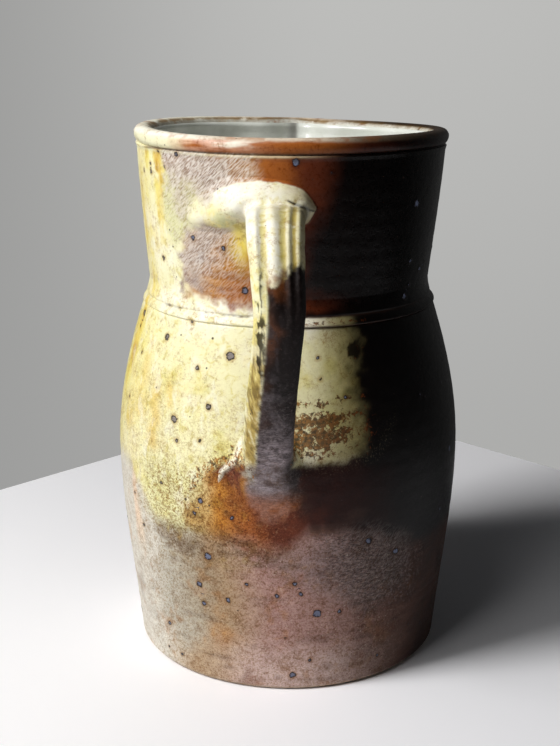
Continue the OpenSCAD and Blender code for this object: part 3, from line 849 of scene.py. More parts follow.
def clay_colours(p, painted_shade_and_unfired, scorched):
    """Bare and blushed clay towards the foot"""
    turn, z, t, h = p.turn, p.z, p.t, p.h
    big, mid, fine, flat = p.big, p.mid, p.fine, p.flat
    streaks = rise(p.tall, 0.1, 0.5) * rise(turn, -44, -54) * rise(z, 50, 74) * rise(turn, -120, -100)
    # Painted shade: mottled dark clay over the right side, away from the lamps
    lower = lerp(0.2, 0.45, rise(h, 36, 56)) * rise(turn, 12, 34) * (turn < 150)
    return coats(
        PINK_CLAY,
        (BUFF_CLAY, rise(t + 6 * big, -2, -22)),
        (GREY_CLAY, rise(t + 4 * big, -31, -49) * rise(t, -140, -110)),
        # brown clay as painted shade on the right, and on the unfired back
        (BROWN_CLAY, painted_shade_and_unfired),
        (PALE_CLAY, 0.7 * rise(h + 6 * big, 30, 10) * rise(turn, -30, -5) * rise(turn, 60, 20)),
        (LILAC * 0.75, 0.5 * rise(patch_depth(t, h, LILAC_PATCH, BELLY_DEGREE) + 5 * big, -8, 8)),
        (GREY_ASH, 0.75 * rise(patch_depth(t, h, GREY_PATCH, BELLY_DEGREE) + 4 * big, -8, 3)),
        (SCORCH, 0.7 * scorched * rise(fine + 0.6 * flat + 0.3 * mid, -0.5, 0.4)),
        (OCHRE, 0.5 * scorched * rise(fine - 0.5 * flat, 0.1, 0.6) * rise(t, -2, -14)),
        (WARM_TINT, 0.4 * bump_at(t, -24, 9) * rise(h, 20, 44), TINT),
        (GOLD, 0.3 * rise(mid + fine, 0.35, 0.9)),
        (GOLD, 0.45 * bump_at(turn, -18, 5) * bump_at(z, 32, 16) * rise(mid + 0.5 * fine, -0.5, 0.5)),
        (DARK_CLAY, lower * rise(mid + 0.6 * flat, -0.3, 0.6)),
        (BURNT_CLAY, 0.6 * bump_at(turn, 30, 12) * rise(h, 56, 76) * rise(mid + fine, -0.6, 0.4)),
        (DARK_CLAY, 0.4 * rise(flat + 0.5 * fine, 0.1, 0.9) * rise(turn, -60, -20)),
        (PEACH, 0.6 * streaks),
        (SMOKE_AND_SHADE, 0.5 * rise(big + 0.6 * mid, 0.1, 0.8), TINT),
        (RUST, 0.3 * rise(mid - 0.7 * fine, 0.4, 1) * rise(turn, -40, -25)))


def rust_colours(p, painted_shade_and_unfired):
    """The rust band over the clay, golden at the left and iron-dark at the right"""
    t, h, mid, fine = p.t, p.h, p.mid, p.fine
    rightward = t + 6 * mid + 0.7 * (h - 92)
    return coats(
        GOLD,
        (RUST, rise(t + 8 * p.big, -20, -6)),
        (RED_BROWN, rise(t + 7 * p.big + 5 * mid + 0.6 * (h - 86), -15, 0)),
        (DARK_RED, rise(rightward, -2, 16)),
        (IRON, rise(rightward, 30, 56)),
        (DARK_CLAY, 0.4 * rise(mid + 0.6 * p.flat, 0.3, 0.9)),
        (UMBER, 0.7 * rise(fine + 0.5 * mid, 0.05, 0.6) * rise(t, 4, -10)),
        (HONEY, 0.5 * rise(fine - 0.6 * mid, 0.3, 0.8) * rise(t, -6, -16)),
        # iron as painted shade on the right, and on the unfired back
        (IRON, painted_shade_and_unfired))


def neck_colours(p, painted_shade_and_unfired):
    """Golden rust over the handle, and iron to its right"""
    t, h, mid = p.t, p.h, p.mid
    return coats(
        RUST,
        (GOLD, 0.5 * rise(t, -2, -12) + 0.3 * rise(mid, 0.2, 0.8)),
        (RED_BROWN, rise(t + 4 * p.big, -1, 11)),
        (IRON, rise(t + 3 * p.big - 0.25 * (h - 215), 7, 19)),
        (RED_BROWN, 0.75 * bump_at(p.turn, 10, 12) * rise(h + 3 * mid, 187, 178)),
        (IRON, np.where(p.turn < 0, painted_shade_and_unfired, 0)))


def ash_colours(p):
    """Wood ash, melted to a cream and yellow glaze that runs down at the left"""
    turn, z, t, h = p.turn, p.z, p.t, p.h
    mid, fine, tall = p.mid, p.fine, p.tall
    leftward = rise(turn + 0.25 * (200 - z), -46, -58) * rise(turn, -170, -130)
    broken = rise(z, 176, 186) * rise(mid + 0.4 * fine, 0.25, -0.3)
    streak = leftward * rise(tall + 0.25 * mid, -0.05, 0.5) * (1 - broken)
    drips = [(AMBER, 0.6 * bump_at(t, place, width) * rise(h, low, low + 7)
              * rise(h, high, high - 14) * rise(tall, -0.5, 0.5)) for place, width, low, high in DRIPS]
    return coats(
        CREAM,
        (PALE, rise(p.big + 0.5 * mid, 0, 0.5)),
        (GREENISH, 0.55 * rise(mid + 0.5 * fine, 0.05, 0.75) * rise(z, 172, 150)),
        (YELLOW, 0.35 * rise(mid - 0.4 * fine, 0.1, 0.7)),
        (YELLOW, 0.2 * rise(z, 176, 160) + 0.25 * rise(turn, -44, -62) * rise(turn, -150, -120)),
        (YELLOW, 0.8 * streak),
        (ORANGE, streak * rise(tall - 0.3 * mid, 0.25, 0.7)),
        (TOFFEE, 0.8 * leftward * rise(tall - 0.4 * mid + 0.3 * fine, 0.5, 0.9)),
        (ORANGE, 0.5 * bump_at(turn, -70, 6) * rise(tall, -0.3, 0.5) * rise(z, 130, 170)),
        (YELLOW, bump_at(turn, -14, 3.5) * bump_at(z, 203, 11)),
        *drips)


def ash_cover(p):
    """(lower edge of the ash, how much lies on the belly, how much lies on the whole wall)"""
    turn, t, h, fired = p.turn, p.t, p.h, p.fired
    wander = 9 * (p.mid + p.big) * rise(turn, -112, -130)
    low = np.interp(turn + wander, *np.array(ASH_LOW).T) + 9 * (p.tall + p.big) * rise(turn, -54, -70)
    soft = 2.5 + 3 * rise(turn, -48, -56)
    belly = rise(h - low, -soft, soft) * rise(h, WAIST_Z + 13, WAIST_Z + 7)
    belly = belly * rise(t + 3 * p.mid + 1.5 * p.fine, 40, 31) * fired
    line_z = WAIST_Z + BAND_H
    under_line = rise(p.z + 0.4 * p.fine, line_z + 0.2, line_z - 0.5)
    belly = belly * np.clip(under_line + rise(turn, 2, -2), 0, 1)
    left = rise(t + 3 * p.big, -34, -42) * rise(t + 0.4 * (h - 200), -158, -150) * fired
    coil = rise(patch_depth(t, h, COIL_ASH_PATCH, NECK_DEGREE), -2, 2)
    foot = rise(turn, -4, -14) * rise(h, 182, 177) * rise(h, WAIST_Z, WAIST_Z + 3) * fired
    neck = np.maximum(np.maximum(left, coil), foot) * rise(h, WAIST_Z + 2, WAIST_Z + 6)
    return low, belly, np.maximum(belly, neck)


def bloom_colours(p):
    """Lilac-grey bloom round the strap's foot"""
    x, z, mid, fine = p.x, p.z, p.mid, p.fine
    return coats(
        LILAC,
        (GREY_ASH, rise(x + 2 * mid, -7, -12) * rise(z + 2 * mid, 102, 108)),
        (DARK_CLAY, 0.75 * rise(fine + 0.5 * mid, -0.1, 0.6) * rise(x, -13, -7)),
        (IRON, 0.9 * rise(x + 3 * mid + 0.2 * (z - 100), 2, 9)),
        (GOLD, rise(x + 2 * mid + fine, -11, -15) * rise(z + 3 * mid + fine, 110, 105)),
        (RUST, 0.7 * rise(z + 4 * mid, 103, 94)))


def rust_speckle(p, ash_low, belly_part, blot):
    """How thickly grains of rust lie on the ash, most of them to the right of the strap"""
    turn, z, mid = p.turn, p.z, p.mid
    slope = z - SPECKLE_SLOPE * (turn - SPECKLE_MIDDLE) + 2 * mid
    band = sum(strength * bump_at(slope, at, width) for strength, at, width in SPECKLE_BANDS)
    band = band + 0.45 * rise(turn, 20, 10) * rise(z, 113, 118) * rise(z, 140, 134)
    band = np.clip(0.6 * band + 0.3 * mid + 0.15 * p.fine, 0, 0.68) * rise(z, 147, 140)
    return np.max([
        0.1 * rise(mid, 0.2, 0.8),
        band * rise(turn, 2, 6) * rise(turn, 37, 27) * rise(z, 108, 114),
        0.45 * belly_part * bump_at(z, WAIST_Z + 2, 1.6) * rise(turn, 2, 8),
        0.3 * bump_at(blot, 4, 3) * rise(turn, 12, 18),
        0.5 * bump_at(p.h - ash_low, 2, 8) * rise(turn, 2, -6) * rise(turn, -34, -25)], axis=0)


def waist_lines(p):
    """The two tooled lines at the waist, painted dark, the lower one only right of the handle"""
    turn, z, fine = p.turn, p.z, p.fine
    right = rise(turn, 2, 8)
    high = bump_at(z + 0.2 * fine, WAIST_Z + BAND_H - 0.1, 0.5) * rise(turn, -54, -48)
    high = high * np.maximum(rise(fine + p.mid, -0.2, 0.5), right)
    low = bump_at(z + 0.25 * fine, WAIST_Z + 0.2, 0.45) * right
    return np.maximum(high, low) * rise(turn, 150, 120)


def brown_colours(p):
    """The brown patch under the coil, pale at its upper left"""
    t, h, mid = p.t, p.h, p.mid
    return coats(
        CRAWL,
        (GOLD, rise(t + 0.5 * (200 - h) + 6 * mid, -28, -16)),
        (RUST, 0.8 * rise(t + 0.4 * (200 - h) + 5 * mid, -20, -10)),
        (RED_BROWN, 0.4 * rise(p.flat + 0.5 * p.fine, 0, 0.6) * rise(h, 206, 196)))


def rim_colours(p):
    """The rolled rim: cream at the far left, pink over the handle, dark at the right"""
    t, flat = p.t, p.flat
    return coats(
        RUST,
        # pink over the handle, partly painted highlight
        (RIM_PINK, 0.9 * rise(t, 2, -22) * rise(flat, -0.6, 0.2) * p.fired),
        # pale streaks: painted highlights on the rim's front
        (PALE, 0.8 * rise(flat + 0.5 * p.mid, 0, 0.4) * rise(t, 2, -10) * p.fired),
        (CREAM, rise(t + 5 * p.mid, -30, -46) * rise(t, -160, -140)),
        (RED_BROWN, rise(t, 14, 32) * rise(t, 176, 140)),
        (IRON, 0.8 * rise(t, 28, 50) * rise(t, 160, 120)))


def wall_paint(points):
    """Colour, finish (gloss, crawl, grain, wrinkles), marks (lit share, rust speckle, dark
    specks, ash) and the iron spots"""
    p = wall_places(points)
    x, z, turn, t, h = p.x, p.z, p.turn, p.t, p.h
    big, mid, fine = p.big, p.mid, p.fine
    # Painted shade: darker towards the right, away from the lamps; at the back the same layer darkens the
    # side away from the fire
    painted_shade_and_unfired = np.where(turn > 0, rise(t, 24, 50), 1 - p.fired)

    # Clay, the rust band over it and the neck
    scorched = rise(h + 5 * big + 3 * fine, 56, 74) * rise(t + 6 * mid, -52, -40) * rise(t, 12, -4)
    rust_low = np.interp(turn, *np.array(RUST_LOW).T)
    rust = rise(h + 4 * big - rust_low, -5, 6) * np.maximum(rise(t, -40, -28), rise(turn, -128, -146))
    neck = rise(h, WAIST_Z + 4, WAIST_Z + 9)
    tone = coats(clay_colours(p, painted_shade_and_unfired, scorched), (rust_colours(p, painted_shade_and_unfired), rust),
                 (neck_colours(p, painted_shade_and_unfired), neck))
    gloss = lerp(lerp(0.3 + 0.1 * big, 0.62, rust), 0.85, neck)
    crawl = 0.12 * rise(patch_depth(t, h, LILAC_PATCH, BELLY_DEGREE), -6, 8) * rise(t, 14, 26)
    crawl = crawl * (1 - rise(h - rust_low, 0, 14))
    wrinkle = 0.15 + 0.85 * rise(patch_depth(turn, z, WRINKLE_PATCH, BELLY_DEGREE) + 6 * mid, -6, 8)
    wrinkle = wrinkle * (1 - rust) * (1 - neck)
    grain = 0.6 - 0.3 * rise(turn, -52, -62) + 0.3 * scorched
    grain = lerp(grain, 0.85 * rise(t, 14, -4), rust) * (1 - neck)

    # Ash, with lime and golden grains at its lower left
    ash_low, belly_part, ash_part = ash_cover(p)
    in_grain = rise(t, -56, -42) * rise(t, -18, -27) * rise(h, 114, 100) * rise(h, 72, 82)
    golden = in_grain * rise(h + 4 * mid + 4 * fine, 99, 84) * rise(t + 4 * mid + 4 * fine, -35, -27)
    lime = coats(lerp(GREENISH, CREAM, 0.5), (YELLOW, 0.2 * rise(fine, -0.2, 0.6)))
    tone = coats(tone, (ash_colours(p), ash_part), (lime, 0.85 * in_grain),
                 (lerp(GOLD, OCHRE, 0.4), 0.8 * golden),
                 (DARK_GOLD, 0.7 * golden * rise(fine - 0.4 * mid, 0, 0.5)))
    gloss = lerp(gloss, 0.66 + 0.1 * big, ash_part)
    specks = lerp(lerp(0.35, 0.55, ash_part), 0.8, in_grain)
    edge = bump_at(h - ash_low, 0, 5) * rise(t, 42, 36) * rise(t, -130, -110)
    grain = lerp(grain * (1 - ash_part), 1, in_grain)
    grain = np.maximum(grain, 0.8 * edge * rise(t, -34, -26))
    grain = np.maximum(grain, 0.35 * ash_part * rise(z, 150, 120))
    grain = grain * rise(turn, -140, -120) * rise(turn, 56, 34) * (1 - 0.7 * rise(turn, 2, 8) * ash_part)

    # Bloom round the strap's foot, and painted shade: iron-dark on the right flank beyond the ash
    far = np.hypot((x + 2.5 - 0.12 * (z - 100)) / 15, (z - 106) / 21)
    foot = rise(far - 0.3 * mid - 0.1 * fine, 1.05, 0.8) * (points[:, 1] < 0)
    foot = foot * (1 - rise(x + 2 * fine, 7, 10) * rise(h, 108, 114))
    wrinkle = lerp(wrinkle, 0.5, foot)
    grain = lerp(grain, 0.3, foot)
    ash_part = ash_part * (1 - foot)
    flank_shade = rise(t + 2 * mid + 1.5 * fine, 21, 31) * (turn < 150)
    blot = np.hypot((turn - BLOTCH[0]) * 1.5, z - BLOTCH[1]) + 2 * mid + 3.4 * fine
    rusty = rust_speckle(p, ash_low, belly_part, blot)
    tone = coats(
        tone,
        (bloom_colours(p), foot),
        # painted shade: the ash darkened towards the right, away from the lamps
        (ASH_SHADE_TINT, 0.85 * ash_part * rise(turn, 8, 25) * rise(turn, 150, 110), TINT),
        # iron on the right flank as painted shade
        (IRON, flank_shade * rise(h, 104, 112) * rise(h, WAIST_Z + 12, WAIST_Z + 8)),
        (IRON, 0.95 * rise(blot, 4.2, 3)),
        (DARK_CLAY, 0.85 * waist_lines(p)))

    # Crawled glaze and the brown patch under the coil
    crawled = patch_depth(t, h, CRAWL_PATCH, NECK_DEGREE) + 7 * mid + 2.5 * fine
    crawled = rise(crawled - lerp(-2, -1.5, rise(turn, -46, -30)), -4, 5)
    upper_right = rise(t + 0.6 * (h - 225) + 8 * mid, -44, -28)
    crawl_base = coats(lerp(GREENISH, CREAM, 0.35), (CRAWL, upper_right),
                       (GOLD, 0.6 * rise(t + 5 * mid, -22, -12)))
    patch = patch_depth(t, h, BROWN_PATCH, NECK_DEGREE) + 4 * mid + 2.5 * fine
    patch = rise(patch - lerp(-5, -1.5, rise(turn, -36, -28)), -1.5, 3.5)
    ash_part = ash_part * (1 - patch) * (1 - 0.6 * crawled)
    tone = coats(
        tone,
        (crawl_base, crawled),
        (brown_colours(p), patch),
        (LILAC, 0.3 * patch * rise(mid + fine, 0.1, 0.7)),
        (BRIGHT_YELLOW, 0.85 * bump_at(t, -13.5, 3.5) * bump_at(h, 204, 9)))
    crawl = np.maximum(crawl, crawled * lerp(0.45, 1, upper_right))
    crawl = np.maximum(crawl, patch * np.maximum(0.35, 0.75 * rise(h + 4 * mid, 184, 196)))
    gloss = lerp(gloss, 0.5, np.maximum(crawled, patch))

    # Rim, its crest, its inner edge, painted highlights on the rim and bead, painted shade over the right
    # side, and the bare foot
    rim = rise(z, GROOVE_Z - 0.8, GROOVE_Z + 0.6)
    groove = bump_at(z + 0.15 * fine, GROOVE_Z - 0.2, 0.55) * rise(turn, -66, -56)
    # Painted highlight: a pale line along the bead, where it catches the light
    bead = bump_at(z, GROOVE_Z - 1.2, 0.6) * rise(turn, 24, -4) * rise(turn, -150, -120)
    crest = rise(z + 0.35 * fine + 0.8 * rise(turn, 5, 30), JUG_H - 2.3, JUG_H - 0.8)
    # Crest paler to the left, partly painted highlight, and darker to the right as painted shade
    top = coats(RIM_TOP, (PALE, rise(t, -10, -40) * rise(t, -170, -150)),
                (RIM_SHADE, rise(t, 10, 34) * rise(t, 165, 140)))
    lip = LIP_REACH * lip_bump(RIM_R * np.radians(np.abs(turn) - 180))
    from_edge = np.hypot(x, points[:, 1]) - RIM_LEAN * np.cos(np.radians(turn - 90)) - lip - RIM_R + RIM_T
    inner = rise(from_edge, 2.2, 0.8) * rise(z, GROOVE_Z - 2, GROOVE_Z)
    brow = bump_at(from_edge + 0.4 * fine, 2, 0.9 + 0.6 * rise(np.abs(turn), 50, 90))
    brow = brow * rise(z, GROOVE_Z + 1.5, GROOVE_Z + 4)
    # Painted shade: the right side of the pot darkened, away from the lamps
    right_shade = rise(turn + 4 * big, 4, 44) * rise(turn, 176, 120) * (1 - inner)
    under = rise(z + 0.4 * fine, 2.6, 0.8)
    tone = coats(
        tone,
        (rim_colours(p), rim),
        (DARK_CLAY, 0.85 * groove),
        # pale bead line: painted highlight
        (CREAM, 0.6 * bead),
        (top, 0.9 * crest),
        (RUST, 0.5 * crest * rise(mid + fine, 0.1, 0.7)),
        (RIM_INSIDE, inner * rise(mid + fine, 0.9, 0.2)),
        (lerp(RED_BROWN, OCHRE * 0.5, 0.6), 0.9 * brow * rise(mid + fine, -0.9, 0.1)),
        # painted shade over the right side, deeper further right
        (SMOKE_AND_SHADE, right_shade, TINT),
        (SMOKE_AND_SHADE, 0.8 * rise(turn, 34, 66) * right_shade, TINT),
        (BARE_CLAY, 0.8 * under))
    gloss = lerp(lerp(lerp(gloss, 0.8, rim), 0.55, crest), 0.05, under)
    ash_part = ash_part * (1 - rim) * rise(turn, 16, 4)
    return (tone, np.stack([gloss, crawl * (1 - rim), grain, wrinkle * (1 - rim)], 1),
            np.stack([rise(turn, 20, 0), rusty, specks, ash_part], 1), spot_place(points))


# Strap, coil and fan

ROUTE_STEPS = 260
POINTS_AT_ONCE = 8192


def strap_place(points):
    """(share of the route, place across from -1 to 1, height over the middle) of each point"""
    share = np.linspace(0, 1, ROUTE_STEPS)
    centre, _, outward = route_at(share)
    flat = np.stack([-points[:, 1], points[:, 2]], 1).astype(np.float32)
    route = centre[:, 1:].astype(np.float32)
    near = np.empty(len(points), int)
    for start in range(0, len(points), POINTS_AT_ONCE):
        part = slice(start, start + POINTS_AT_ONCE)
        gap = flat[part, None, :] - route[None, :, :]
        near[part] = np.argmin((gap * gap).sum(2), 1)
    across = (points[:, 0] - centre[near, 0]) / strap_half_w(share[near])
    over = ((flat - centre[near, 1:]) * outward[near, 1:]).sum(1)
    return share[near], across, over


def strap_paint(points):
    """The wall's paint, with the strap's and the coil's own over it"""
    tone, finish, marks, spots = wall_paint(points)
    share, across, over = strap_place(points)
    x, z = points[:, 0], points[:, 2]
    mid = cloud(points, 9, 203, 3)
    fine = cloud(points, 2.6, 205, 3)
    grainy = cloud(points, 1.6, 207, 3, (1, 1, 4))
    clear = np.hypot(x, points[:, 1]) - wall_r(z)

    # Ash over the top third, gathered yellow in the flutes
    valley = rise(-flute_height(np.clip(across, -0.94, 0.94)) + 0.5 * fine, 0.1, 0.9)
    valley = valley * rise(share, 0.03, 0.12) * (np.abs(across) < 0.9)
    ash = coats(
        PALE,
        (YELLOW, 0.3 * rise(mid, -0.1, 0.7)),
        (ORANGE, 0.7 * valley * rise(share + 0.1 * fine, 0.1, 0.3)),
        (GREENISH, 0.5 * valley),
        (OCHRE, 0.6 * valley * rise(across, 0.1, 0.6)),
        # painted shade: the strap's ash darkened towards its right
        (STRAP_SHADE_TINT, rise(across + 0.2 * mid, -0.2, 0.5), TINT))

    # Rust below it, then a grey-lilac bloom
    dusty = rise(grainy + 0.6 * fine, 0.15, 0.7) * rise(across, 0.5, -0.3) * rise(share, 0.46, 0.56)
    low = coats(
        STRAP_BROWN,
        (IRON, rise(across + 0.5 * mid, -0.6, 0.3)),
        (RUST, 0.7 * rise(share + 0.06 * mid, 0.5, 0.42) * rise(across, 0.5, -0.2)),
        (IRON, 0.5 * rise(share + 0.1 * mid, 0.46, 0.56)),
        (LILAC * 0.6, 0.8 * rise(share + 0.12 * mid + 0.05 * fine, 0.66, 0.84)),
        (LILAC * 1.4, 0.8 * rise(share + 0.1 * mid, 0.82, 0.96)),
        (LILAC, 0.3 * dusty),
        (IRON, 0.6 * rise(fine + grainy, 0, 0.8) * rise(share, 1, 0.9)))

    # Bevelled left edge, yellow down to the foot
    streaked = bump_at(share + 0.05 * mid, 0.56, 0.13) * rise(across + 0.1 * fine, -0.85, -0.65)
    side = coats(
        CREAM,
        (YELLOW, 0.7 * rise(mid + fine, -0.5, 0.5)),
        (OCHRE, rise(share + 0.04 * mid, 0.48, 0.7) * rise(across, -0.98, -0.8) * rise(grainy, -0.9, 0)),
        (STRAP_OLIVE, 0.8 * rise(grainy + 0.4 * mid, -0.2, 0.5) * rise(share, 0.5, 0.66)),
        (IRON, 0.9 * rise(grainy + 0.5 * fine + 0.9 * streaked, 0.55, 0.95)))

    # Coil: pale ash, yellow underneath
    near_coil = rise(share, 0.12, 0.04) * rise(z, 206, 214) * rise(x + 3 * mid + 1.5 * fine, -34, -26)
    low_left = rise(x + 1.6 * (z - 222) + 5 * mid + 2 * fine, -18, -36)
    coil = coats(
        PALE,
        (CREAM, rise(mid, 0, 0.6)),
        # darker and yellower to the right, partly painted shade
        (COIL_SHADE, 0.7 * rise(x + 3 * mid, 1, 10)),
        (coats(GREENISH, (YELLOW, rise(mid + fine, -0.4, 0.4))), 0.75 * low_left))

    edge = 0.4 + 0.03 * mid + 0.02 * fine - 0.035 * rise(across, 0.1, 0.8)
    part = rise(share - edge, -0.012, 0.02)
    bevel = rise(across + 0.04 * fine, -0.36, -0.46) * rise(share, 0.3, 0.42)
    ridge = bump_at(across, -0.42, 0.06) * rise(share, 0.34, 0.42) * rise(share, 1, 0.93)
    behind = rise(over, -0.5, -3.5)
    crack = bump_at(line_distance(x, z + 0.3 * fine, COIL_CRACK), 0, 0.45) * rise(clear, 3, 5)
    strap = coats(
        ash,
        (low, part),
        (side, bevel),
        (CREAM, 0.65 * ridge * rise(fine, -0.5, 0.3)),
        (coats(IRON, (RUST, rise(mid, -0.2, 0.6))), 0.85 * behind),
        (coil, near_coil * (1 - behind * (np.abs(across) < 1))),
        (IRON, crack))

    # The foot wears the wall's own bloom, with a pale ridge down its left
    near_foot = np.maximum(rise(share + 0.02 * mid, 0.88, 0.95) * rise(clear, 10, 6),
                           rise(clear, 6, 4) * rise(share, 0.5, 0.6))
    on_ridge = bump_at(line_distance(x + 0.7 * fine, z, FAN_RIDGE), 0, 1.2)
    own = rise(clear + 0.4 * fine, 0.5, 1.3) * (1 - near_foot) * rise(x + 5 * mid + 2.5 * fine, -36, -25)
    tone = coats(tone, (PALE, 0.9 * on_ridge * rise(z + 3 * mid, 98, 107) * rise(z, 128, 120)), (strap, own))
    wrinkle = part * lerp(0.12, 0.9, rise(share, 0.6, 0.8) * rise(across, -0.5, -0.4))
    pale = np.maximum(near_coil, 1 - part) * (1 - behind)
    finish[:, 0] = lerp(finish[:, 0], lerp(0.6, 0.4, part), own)
    finish[:, 1:3] *= (1 - own)[:, None]
    finish[:, 3] = lerp(finish[:, 3], wrinkle, own)
    marks[:, 1] *= 1 - own
    marks[:, 2] = lerp(marks[:, 2], 0.5, own)
    marks[:, 3] = lerp(marks[:, 3], pale, own)
    spots[:, 3] *= own < 0.1
    return tone, finish, marks, spots


def paint(piece, painter):
    points = points_of(piece)
    for name, values in zip(("tone", "finish", "marks", "spots"), painter(points)):
        data = np.ones((len(points), 4), np.float32)
        data[:, :values.shape[1]] = values
        layer = piece.data.attributes.new(name, "FLOAT_COLOR", "POINT")
        layer.data.foreach_set("color", data.ravel())


# Materials

# Colours multiplied with the glaze under them
SHADE_TINT = colour(206, 188, 168)
POOL_TINT = colour(226, 214, 134)
SUGAR_TINT = colour(176, 152, 104)
CLUMP_TINT = colour(184, 150, 96)
HALO_TINT = colour(196, 160, 108)

# Colours mixed over the glaze
DROP = colour(246, 245, 228)
GLEAM = colour(250, 244, 226)
SUGAR = colour(120, 112, 84)
SALT = colour(226, 214, 190)
RIDGE = colour(240, 234, 226)
FURROW = colour(92, 62, 46)
CREASE = colour(44, 30, 27)
WRINKLE_BLOOM_AND_GLINT = colour(164, 152, 152)
FLECK_DARK = colour(56, 28, 12)
FLECK_SHADED = colour(104, 54, 20)
FLECK_LIT = colour(176, 116, 42)
SPECK = colour(64, 46, 38)
SPOT_RING = colour(34, 26, 26)
SPOT_BLUE = colour(108, 116, 140)
SPOT_GREY = colour(132, 126, 126)
LINER_DIM = colour(214, 216, 206)
LINER_PALE = colour(232, 233, 226)
LINER_GRIT = colour(186, 182, 164)
LINER_SPECK = colour(70, 58, 50)
THROAT_SHADE = colour(96, 92, 84)

# The dashes in the crawled glaze lean this way, and are this many times longer than wide
DASH_LEAN = math.radians(42)
DASH_LENGTH = 6
# Small dark specks, as (size of their cells, largest reach in a cell)
SPECK_CELLS = ((5.5, 0.13), (11, 0.085))


class Nodes:
    """A node tree with short calls for the nodes that these materials use"""

    def __init__(self, name):
        self.material = bpy.data.materials.new(name)
        self.material.use_nodes = True
        self.tree = self.material.node_tree
        self.shader = self.tree.nodes["Principled BSDF"]
        self.output = self.tree.nodes["Material Output"]

    def link(self, value, socket):
        if isinstance(value, bpy.types.NodeSocket):
            self.tree.links.new(value, socket)
        elif hasattr(value, "__len__") and socket.type == "RGBA":
            socket.default_value = (*value[:3], 1)
        else:
            socket.default_value = value

    def add(self, kind, inputs, **settings):
        """The outputs of a new node, with its settings made and its inputs set or linked"""
        node = self.tree.nodes.new("ShaderNode" + kind)
        for name, value in settings.items():
            setattr(node, name, value)
        for name, value in inputs.items():
            self.link(value, node.inputs[name])
        return node.outputs

    def math(self, operation, a, b=0.0):
        return self.add("Math", {0: a, 1: b}, operation=operation)[0]

    def times(self, first, *others):
        for other in others:
            first = self.math("MULTIPLY", first, other)
        return first

    def plus(self, first, *others):
        for other in others:
            first = self.math("ADD", first, other)
        return first

    def swing(self, value, amount):
        """A value from 0 to 1, moved to lie about 0 and scaled"""
        return self.times(self.math("SUBTRACT", value, 0.5), amount)

    def rise(self, value, low, high):
        """A smooth step, held between 0 and 1"""
        limits = {"From Min": min(low, high), "From Max": max(low, high),
                  "To Min": int(low > high), "To Max": int(low < high)}
        return self.add("MapRange", {"Value": value, **limits}, interpolation_type="SMOOTHSTEP")["Result"]

    def mix(self, part, a, b, blend="MIX"):
        return self.add("Mix", {0: part, 6: a, 7: b}, data_type="RGBA", blend_type=blend)[2]

    def tint(self, part, base, by):
        """A base multiplied with a colour, as far as part says"""
        return self.mix(part, base, self.mix(1.0, base, by, "MULTIPLY"))

    def noise(self, place, size, detail=2.0, roughness=0.5, warp=0.0):
        return self.add("TexNoise", {"Vector": place, "Scale": 1 / size, "Detail": detail,
                                     "Roughness": roughness, "Distortion": warp})["Fac"]

    def cells(self, place, size):
        """(distance to the nearest cell's middle, a random number for that cell)"""
        out = self.add("TexVoronoi", {"Vector": place, "Scale": 1 / size})
        return out["Distance"], self.parts(out["Color"])[0]

    def attribute(self, name):
        out = self.add("Attribute", {}, attribute_name=name)
        return out["Color"], out["Alpha"]

    def parts(self, value):
        return self.add("SeparateColor", {0: value})[:3]

    def mapped(self, place, scale, turn=(0, 0, 0)):
        return self.add("Mapping", {"Vector": place, "Scale": scale, "Rotation": turn})["Vector"]

    def place(self):
        """Object coordinates in millimetres"""
        return self.mapped(self.add("TexCoord", {})["Object"], (1 / MM,) * 3)

    def bump(self, height, strength, distance, under=None):
        inputs = {"Strength": strength, "Distance": distance, "Height": height}
        if under is not None:
            inputs["Normal"] = under
        return self.add("Bump", inputs)["Normal"]

    def finish(self, base, roughness, normal):
        self.link(base, self.shader.inputs["Base Color"])
        self.link(roughness, self.shader.inputs["Roughness"])
        self.link(normal, self.shader.inputs["Normal"])
        return self.material


